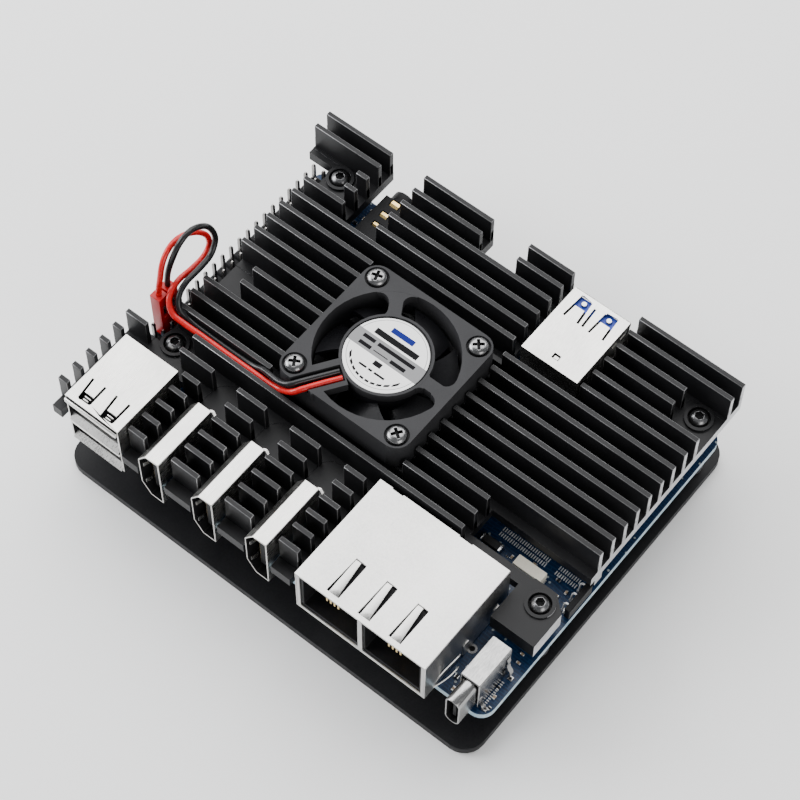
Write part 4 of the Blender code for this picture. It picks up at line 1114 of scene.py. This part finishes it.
def buildSideHeader():
    low, high = nodeBox("side_header")
    chunks = [softBoxes("blackMoulded", 0.15, (low.x + 1.05, high.x, low.y, high.y, low.z, high.z))]
    foot = low.x + header["side"] / 2
    for row in range(header["sideRows"]):
        y = low.y + 1.12 + header["pitch"] * row
        path = [(foot, y - 0.3, low.z), (foot, y - 0.2, 2.0), (foot + 0.05, y, 2.9),
                (foot + 0.3, y + 0.1, 3.25),
                (foot + 0.7, y + 0.15, 3.2), (low.x + 1.4, y + 0.15, 2.6)]
        chunks.append((tube([at(*point) for point in path], header["legRadius"] * mm, 8), "tinned"))
        chunks.append((lathe(foot, y, header["joint"], 20), "solder"))
    assemble("sideHeader", chunks, ["side_header"])
    print("pin headers")


# Sockets

ports = {"sheetEdge": 0.12, "slotWide": 0.42, "cutDeep": 0.8, "sideSprings": (33.4, 36.0),
         "springLine": ((0.02, 0, 13.6), (0.5, 0.2, 12.6), (0.75, 0.3, 11.2), (0.55, 0.3, 9.8),
                        (0.1, 0.1, 9.0)),
         "windowBars": ((-0.35, 1.5), (0.25, 1.2), (0.75, 1.6)),
         "floorLine": ((-0.35, 0), (0.9, 0.85), (3.6, 1.05)),
         "contacts": 4, "contactPitch": 2.2,
         "frontSlots": (((-45.1, -34.5), (-44.5, -39.2)), ((-42.1, -34.5), (-42.0, -39.0)),
                        ((-39.2, -34.5), (-38.6, -39.6)), ((-36.1, -34.5), (-36.1, -39.3))),
         "frontWindows": (((-44.85, -37.6), (-44.5, -39.4), (-41.9, -39.2), (-42.0, -37.6)),
                          ((-38.9, -37.9), (-38.6, -39.8), (-36.0, -39.5), (-36.1, -37.9))),
         "backSlots": (((14.6, 31.9), (15.05, 37.6)), ((17.8, 31.9), (17.2, 37.2)),
                       ((18.9, 31.9), (18.6, 36.6)), ((20.6, 31.7), (20.9, 36.9)),
                       ((23.7, 31.9), (23.2, 37.4))),
         "backWindows": (((14.9, 35.0), (15.1, 37.7), (17.2, 37.4), (17.45, 35.0)),
                         ((20.8, 35.0), (20.95, 37.3), (23.2, 37.5), (23.4, 35.0)),
                         ((18.4, 22.9), (18.4, 24.1), (19.9, 24.1), (19.9, 22.9)))}


def slotCutter(lines, windows, width, low, high):
    whole = bmesh.new()
    for (x0, y0), (x1, y1) in lines:
        way = Vector((x1 - x0, y1 - y0)).normalized()
        side = Vector((-way.y, way.x)) * width / 2
        quad = [(x0 + side.x, y0 + side.y), (x0 - side.x, y0 - side.y), (x1 - side.x, y1 - side.y),
                (x1 + side.x, y1 + side.y)]
        whole.from_mesh(toMesh(prism(quad, low, high)))
    for quad in windows:
        whole.from_mesh(toMesh(prism(list(quad), low, high)))
    return whole


def windowParts(windows, facing, blue, top):  # the sprung metal seen through the openings
    chunks = []
    for window in windows[:2]:
        x = sum(p[0] for p in window) / len(window)
        y = sum(p[1] for p in window) / len(window)
        if blue:
            bump = [(0, top - 0.5), (0.62, top - 0.5), (0.5, top - 0.22), (0, top - 0.16)]
            chunks.append((lathe(x, y + 0.1, bump, 24), "brightSteel"))
            continue
        for back, wide in ports["windowBars"]:
            bar = sorted((y + back * facing - 0.11, y + back * facing + 0.11))
            chunks.append(softBoxes("brightSteel", 0.05,
                                    (x - wide / 2, x + wide / 2, *bar, top - 0.62, top - 0.42)))
    for window in windows[2:]:
        (x0, y0), (x1, y1) = window[0], window[2]
        chunks.append(softBoxes("brightSteel", 0.06,
                                (x0 + 0.3, x1 - 0.15, y0 + 0.15, y1 - 0.3, top - 0.5, top - 0.2)))
    return chunks


def buildPorts(name, prefix, lines, windows, facing, blue):
    low, high = nodeBox(prefix + "_shell")
    mouth = high.y if facing > 0 else low.y
    left, right, middle, top = low.x, high.x, (low.z + high.z) / 2, high.z

    def deep(first, second):  # two depths measured inward from the mouth, as a low and a high y
        return sorted((mouth - first * facing, mouth - second * facing))

    shell = cadCopy(prefix + "_shell")
    reach = (top - ports["cutDeep"], top + 0.5)
    for line in lines:
        shell = cutAway(shell, slotCutter([line], [], ports["slotWide"], *reach))
    for window in windows:
        shell = cutAway(shell, slotCutter([], [window], 0, *reach))
    shell = shadeInside(soften(shell, ports["sheetEdge"]), at(*(low + high) / 2))
    chunks = [(shell, "brightSteel", "socketShadow")] + windowParts(windows, facing, blue, top)
    if blue:
        # a dark sheet under the slotted top: painted shade, so the slots read dark
        slotShade = (left + 0.4, right - 0.4, low.y + 0.5, windows[0][0][1] - 0.1, top - 0.62, top - 0.5)
        chunks.append((boxes(slotShade), "socketShadow"))
        for y in ports["sideSprings"]:
            line = [(right + out, y + back, z) for out, back, z in ports["springLine"]]
            chunks.append(bentStrip("brightSteel", line, 1.5, 0.2, (0, 1, 0)))
    chunks.append((boxes((left + 0.3, right - 0.3, *deep(-0.16, 0.0), top - 0.62, top - 0.2)),
                   "socketShadow"))
    chunks.append(softBoxes("brightSteel", 0.24,
                            (left + 0.1, right - 0.1, *deep(-0.6, 0.0), top - 1.75, top - 0.55)))
    for foot, lip in ((middle - 0.6, middle - 2.0), (low.z + 0.2, low.z)):
        floor = [((left + right) / 2, mouth - d * facing, foot + z) for d, z in ports["floorLine"]]
        chunks.append(bentStrip("brightSteel", floor, right - left - 0.9, 0.24))
        if lip > low.z:
            chunks.append(softBoxes("brightSteel", 0.15,
                                    (left + 0.35, right - 0.35, *deep(-0.25, 0.25), lip, lip + 0.9)))
    for side in (left - 0.12, right + 0.02):
        leg = [(side + 0.05, mouth - 3.0 * facing, z) for z in (low.z - 0.2, 1.6, 3.0)]
        chunks.append(bentStrip("brightSteel", leg, 1.6, 0.22, (0, 1, 0)))
    assemble(name + "Shell", chunks, [prefix + "_shell"])
    chunks = [(soften(cadCopy(prefix + "_insert"), 0.12), "blueMoulded" if blue else "blackMoulded")]
    if blue:
        chunks.append(softBoxes("blueMoulded", 0.08,
                                (left + 0.7, right - 0.7, *deep(0.6, 3.4), top - 1.1, top - 0.75)))
    count, pitch = ports["contacts"], ports["contactPitch"]
    first = (left + right) / 2 - pitch * (count - 1) / 2
    for z in (low.z + 2.55, middle + 2.55):
        chunks.append(barRow(count, (first, mouth - 6.0 * facing, z), (pitch, 0, 0), (0.9, 7.0, 0.12),
                             "goldPlate", 0.04))
    assemble(name + "Insert", chunks, [prefix + "_insert"])


video = {"count": 3, "edge": 0.14, "hook": ((-0.5, 0.05, -0.5), (0.2, 0.15, -0.25), (0.9, -0.15, -0.5),
                                            (1.3, -0.25, -1.3)),
         "springHeights": (4.2, 10.4), "springLine": ((1.0, 0.3), (1.35, 1.6), (0.6, 3.0)),
         "tabs": ((4.5, 6.2), (10.5, 12.2)), "tabThick": 0.25, "tabHigh": (0.05, 3.4),
         "contacts": 10, "contactSides": (-0.44, 1.04)}


def buildVideo():
    for number in range(1, video["count"] + 1):
        low, high = nodeBox("video_shell_%d" % number)
        shell = shadeInside(soften(cadCopy("video_shell_%d" % number), video["edge"]), at(*(low + high) / 2))
        chunks = [(shell, "brightSteel", "socketShadow")]
        hook = [(high.x + a, high.y + b, high.z + c) for a, b, c in video["hook"]]
        chunks.append(bentStrip("brightSteel", hook, 0.5, 0.25, (0, 1, 0)))
        for z in video["springHeights"]:
            line = [(low.x + a, low.y + b, z) for a, b in video["springLine"]]
            chunks.append(bentStrip("brightSteel", line, 1.1, 0.2, (0, 0, 1)))
        tabs = [(high.x, high.x + video["tabThick"], low.y + near, low.y + far, *video["tabHigh"])
                for near, far in video["tabs"]]
        chunks.append(softBoxes("brightSteel", 0.06, *tabs))
        assemble("videoShell%d" % number, chunks, ["video_shell_%d" % number])
        chunks = [(soften(cadCopy("video_tongue_%d" % number), 0.1), "blackMoulded")]
        middle = (low.x + high.x) / 2
        for side in video["contactSides"]:
            chunks.append(barRow(video["contacts"], (middle + side, -36.0, 3.2), (0, 0, 1.0),
                                 (0.1, 6.4, 0.42),
                                 "goldPlate"))
        assemble("videoTongue%d" % number, chunks, ["video_tongue_%d" % number])
    print("video sockets")


network = {"tongues": (0.0, 7.15, 14.2), "tongueFront": (15.75, 18.35), "tongueBack": (16.15, 17.5),
           "front": -39.95, "back": -31.95, "leftGap": 0.36, "toothStart": (16.5, 30.7), "toothPitch": 0.87,
           "lifts": ((0.0, -0.08), (0.16, 0.10), (0.45, 0.26), (0.85, 0.5), (0.97, 0.4)), "tongueThick": 0.3,
           "backSlots": ((12.2, 14.4), (27.6, 30.4)), "tabs": ((-30.0, -28.4), (-21.0, -19.4)),
           "springs": (((39.0, -37.6, 1.9), (39.1, -36.6, 3.0), (39.6, -35.6, 4.9), (40.3, -34.5, 7.1),
                        (40.9, -33.5, 9.0)),
                       ((39.0, -38.4, 1.0), (39.5, -37.4, 1.4), (40.2, -36.5, 2.7), (40.9, -35.5, 4.3),
                        (41.4, -34.5, 6.0))),
           "contactLine": ((1.2, 11.6), (2.4, 10.6), (6.5, 8.2), (8.5, 8.0))}


def shieldTongue(shift, top):  # a spring tongue, raised towards its root at the back
    (frontLeft, frontRight), (backLeft, backRight) = network["tongueFront"], network["tongueBack"]
    thick = network["tongueThick"]
    bm = bmesh.new()
    steps = []
    for t, lift in network["lifts"]:
        y = network["front"] + (network["back"] - network["front"]) * t
        left = frontLeft + network["leftGap"] * (1 - t) + 0.06 + (backLeft - frontLeft) * t + shift
        right = frontRight - 0.14 + (backRight - frontRight) * t + shift
        steps.append([bm.verts.new(at(x, y, top + z)) for x, z in
                      ((left, lift), (right, lift), (right, lift - thick), (left, lift - thick))])
    for first, second in zip(steps, steps[1:]):
        for i in range(4):
            bm.faces.new([first[i], first[(i + 1) % 4], second[(i + 1) % 4], second[i]])
    bm.faces.new(steps[0])
    bm.faces.new(steps[-1])
    bmesh.ops.recalc_face_normals(bm, faces=bm.faces)
    return soften(bm, 0.05), "satinSteel"


def buildNetworkShield(low, high):
    shield, chunks = cadCopy("network_shield"), []
    (frontLeft, frontRight), (backLeft, backRight) = network["tongueFront"], network["tongueBack"]
    for shift in network["tongues"]:
        window = ((frontLeft + shift, network["front"]), (frontRight + shift, network["front"]),
                  (backRight + 0.85 + shift, network["back"]), (backLeft - 0.12 + shift, network["back"]))
        shield = cutAway(shield, slotCutter([], [window], 0, high.z - 0.8, high.z + 0.5))
        chunks.append(shieldTongue(shift, high.z))
    for left, right in network["backSlots"]:
        shield = cutAway(shield, boxes((left, right, high.y - 0.28, high.y + 1, high.z - 0.6, high.z + 1)))
    chunks.append((shadeInside(soften(shield, 0.16), at(*(low + high) / 2)), "satinSteel", "socketShadow"))
    middle = (low.x + high.x) / 2
    front = boxes((low.x + 0.34, high.x - 0.34, low.y + 0.02, low.y + 0.38, low.z + 0.34, high.z - 0.36))
    for left, right in ((low.x + 1.0, middle - 0.5), (middle + 0.5, high.x - 1.0)):
        front = cutAway(front, boxes((left, right, low.y - 1, low.y + 1, low.z + 0.9, high.z - 0.5)))
    chunks.append((soften(front, 0.08), "satinSteel"))
    for points in network["springs"]:
        chunks.append(bentStrip("brightSteel", points, 0.5, 0.2, (0, 1, 0.3)))
    tabs = [(high.x, high.x + 0.2, near, far, 0.05, 4.4) for near, far in network["tabs"]]
    chunks.append(softBoxes("satinSteel", 0.06, *tabs))
    assemble("networkShield", chunks, ["network_shield"])


def buildNetwork():
    low, high = nodeBox("network_shield")
    buildNetworkShield(low, high)
    chunks = [(soften(cadCopy("network_housing"), 0.12), "blackMoulded")]
    pitch = network["toothPitch"]
    for first in network["toothStart"]:
        chunks.append(barRow(4, (first, low.y + 0.28, high.z - 1.35), (pitch, 0, 0), (0.42, 0.3, 1.5),
                             "goldPlate", 0.06))
        for i in range(8):
            x = first + pitch * (i - 2)
            line = [(x, low.y + back, z) for back, z in network["contactLine"]]
            chunks.append(bentStrip("goldPlate", line, 0.42, 0.16))
    assemble("networkHousing", chunks, ["network_housing"])
    print("network sockets")


def buildOvalSockets():
    for name, prefix, facing in (("powerSocket", "power_socket", -1), ("dataSocket", "data_socket", 1)):
        low, high = nodeBox(prefix + "_shell")
        middle = (low + high) / 2
        shell = shadeInside(soften(cadCopy(prefix + "_shell"), 0.1), at(*middle))
        assemble(name + "Shell", [(shell, "shadedSteel", "socketShadow")], [prefix + "_shell"])
        chunks = [(soften(cadCopy(prefix + "_tongue"), 0.06), "blackMoulded")]
        y = (high.y if facing > 0 else low.y) - 3.6 * facing
        upright = prefix == "power_socket"
        for side in (-0.4, 0.4):
            if upright:
                row = ((middle.x + side, y, middle.z - 2.25), (0, 0, 0.5), (0.06, 3.4, 0.26))
            else:
                row = ((middle.x - 2.25, y, middle.z + side), (0.5, 0, 0), (0.26, 3.4, 0.06))
            chunks.append(barRow(10, *row, "goldPlate"))
        assemble(name + "Tongue", chunks, [prefix + "_tongue"])


cover = {"edge": 0.32, "hookY": 1.1, "footY": 0.8,
         "hook": ((0.02, 7.6), (0.25, 6.6), (0.12, 5.2), (0.35, 4.0), (0.9, 3.2), (1.0, 2.0), (0.6, 0.9)),
         "foot": ((0.05, 3.4), (0.15, 1.6), (0.5, 0.5), (0.8, 0.25))}


def buildPowerCover():
    low, high = nodeBox("power_socket_cover")
    right, near, far = high.x, low.y + cover["footY"], high.y - cover["hookY"]
    chunks = [(soften(cadCopy("power_socket_cover"), cover["edge"], segments=3), "shadedSteel")]
    for line, y, width, thick in ((cover["hook"], far, 0.9, 0.25), (cover["foot"], near, 0.8, 0.22)):
        chunks.append(bentStrip("shadedSteel", [(right + out, y, z) for out, z in line], width, thick,
                                (0, 1, 0)))
    for y in (near, far):
        chunks.append(softBoxes("shadedSteel", 0.08,
                                (right + 0.5, right + 1.5, y - 0.5, y + 0.5, 0.05, 0.26)))
        chunks.append((lathe(right + 1.0, y, [(0, 0.2), (0.26, 0.2), (0.26, 0.28), (0, 0.28)], 20),
                       "socketShadow"))
    assemble("powerSocketCover", chunks, ["power_socket_cover"])


audio = {"top": 6.0, "edge": 0.16,  # windows: x, y, width, depth
         "windows": ((-30.1, 36.7, 2.4, 1.7), (-30.2, 33.4, 2.0, 1.5), (-29.6, 30.6, 2.9, 1.3))}


def buildAudio():
    shape, chunks, top = cadCopy("audio_socket"), [], audio["top"]
    for x, y, wide, deep in audio["windows"]:
        shape = cutAway(shape,
                        boxes((x - wide / 2, x + wide / 2, y - deep / 2, y + deep / 2, top - 0.7, top + 1)))
        line = [(x, y - deep / 2 + 0.05, top - 0.3), (x, y - 0.2, top + 0.02),
                (x, y + deep / 2 - 0.3, top - 0.05)]
        chunks.append(bentStrip("goldPlate", line, wide * 0.8, 0.2))
    chunks.append((soften(shape, audio["edge"]), "blackMoulded"))
    assemble("audioSocket", chunks, ["audio_socket"])
    print("power, data and audio sockets")


# Chips and the parts under the heatsink and the board


chips = {"edge": 0.12, "ballPitch": 0.8, "ballSize": (0.4, 0.4, 0.24), "dot": 0.4,
         "under": (("mainProcessor", "main_processor", "chipBlack", "chip"),
                   ("thermalPad", "thermal_pad", "softPad", "pad"),
                   ("memoryChip1", "memory_chip_1", "chipBlack", "chip"),
                   ("memoryChip2", "memory_chip_2", "chipBlack", "chip"))}


def buildChips():
    pitch, dot = chips["ballPitch"], chips["dot"]
    for name, nodeName, look, slot in chips["under"]:
        low, high = nodeBox(nodeName)
        chunks = [(soften(cadCopy(nodeName), chips["edge"]), look)]
        if look == "chipBlack":
            mark = [(0, high.z), (dot, high.z), (dot, high.z + 0.02), (0, high.z + 0.02)]
            chunks.append((lathe(low.x + 1.3, low.y + 1.3, mark, 20), "softPad"))
            count = int((high.x - low.x - 1.2) / pitch)
            for y in (low.y + 0.7, high.y - 0.7):
                chunks.append(barRow(count, (low.x + 1.0, y, low.z - 0.1), (pitch, 0, 0), chips["ballSize"],
                                     "solder", 0.1))
        assemble(name, chunks, [nodeName])
    low, high = nodeBox("power_chip")
    side = (low.y - 0.05, high.y + 0.05, 0.05, high.z + 0.04)
    chunks = [(soften(cadCopy("power_chip"), 0.1), "chipBlack"),
              softBoxes("solder", 0.06, (high.x - 0.45, high.x + 0.06, *side),
                        (low.x - 0.06, low.x + 0.3, *side))]
    assemble("powerChip", chunks, ["power_chip"])
    print("chips")


def buildSmallSockets():
    low, high = nodeBox("board_connector")
    chunks = [softBoxes("creamMoulded", 0.12, (low.x, high.x, low.y, high.y, low.z, high.z)),
              barRow(8, (low.x + 1.1, low.y - 0.12, 0.14), (0.6, 0, 0), (0.26, 0.5, 0.2), "solder"),
              barRow(2, (low.x - 0.1, (low.y + high.y) / 2, 0.3), (high.x - low.x + 0.2, 0, 0),
                     (0.35, 1.4, 0.5),
                     "solder", 0.06)]
    assemble("boardConnector", chunks, ["board_connector"])
    low, high = nodeBox("storage_socket")
    chunks = [(soften(cadCopy("storage_socket"), 0.15), "blackMoulded"),
              barRow(18, (low.x + 2.3, high.y - 0.1, high.z - 0.2), (1.0, 0, 0), (0.4, 0.9, 0.2),
                     "goldPlate")]
    assemble("storageSocket", chunks, ["storage_socket"])
    low, high = nodeBox("card_slot")
    chunks = [(soften(cadCopy("card_slot"), 0.12), "satinSteel"),
              barRow(8, (low.x + 13.9, low.y + 3.2, high.z - 0.9), (0, 1.1, 0), (1.4, 0.5, 0.2), "goldPlate")]
    assemble("cardSlot", chunks, ["card_slot"])
    print("small sockets")


buildLead()
buildHeatsink()
buildFan()
buildFanScrews()
buildCornerScrews()
buildBoard()
buildPinHeader()
buildSideHeader()
buildPorts("frontPorts", "front_ports", ports["frontSlots"], ports["frontWindows"], -1, False)
buildPorts("backPorts", "back_ports", ports["backSlots"], ports["backWindows"], 1, True)
print("stacked ports")
buildVideo()
buildNetwork()
buildOvalSockets()
buildPowerCover()
buildAudio()
buildChips()
buildSmallSockets()
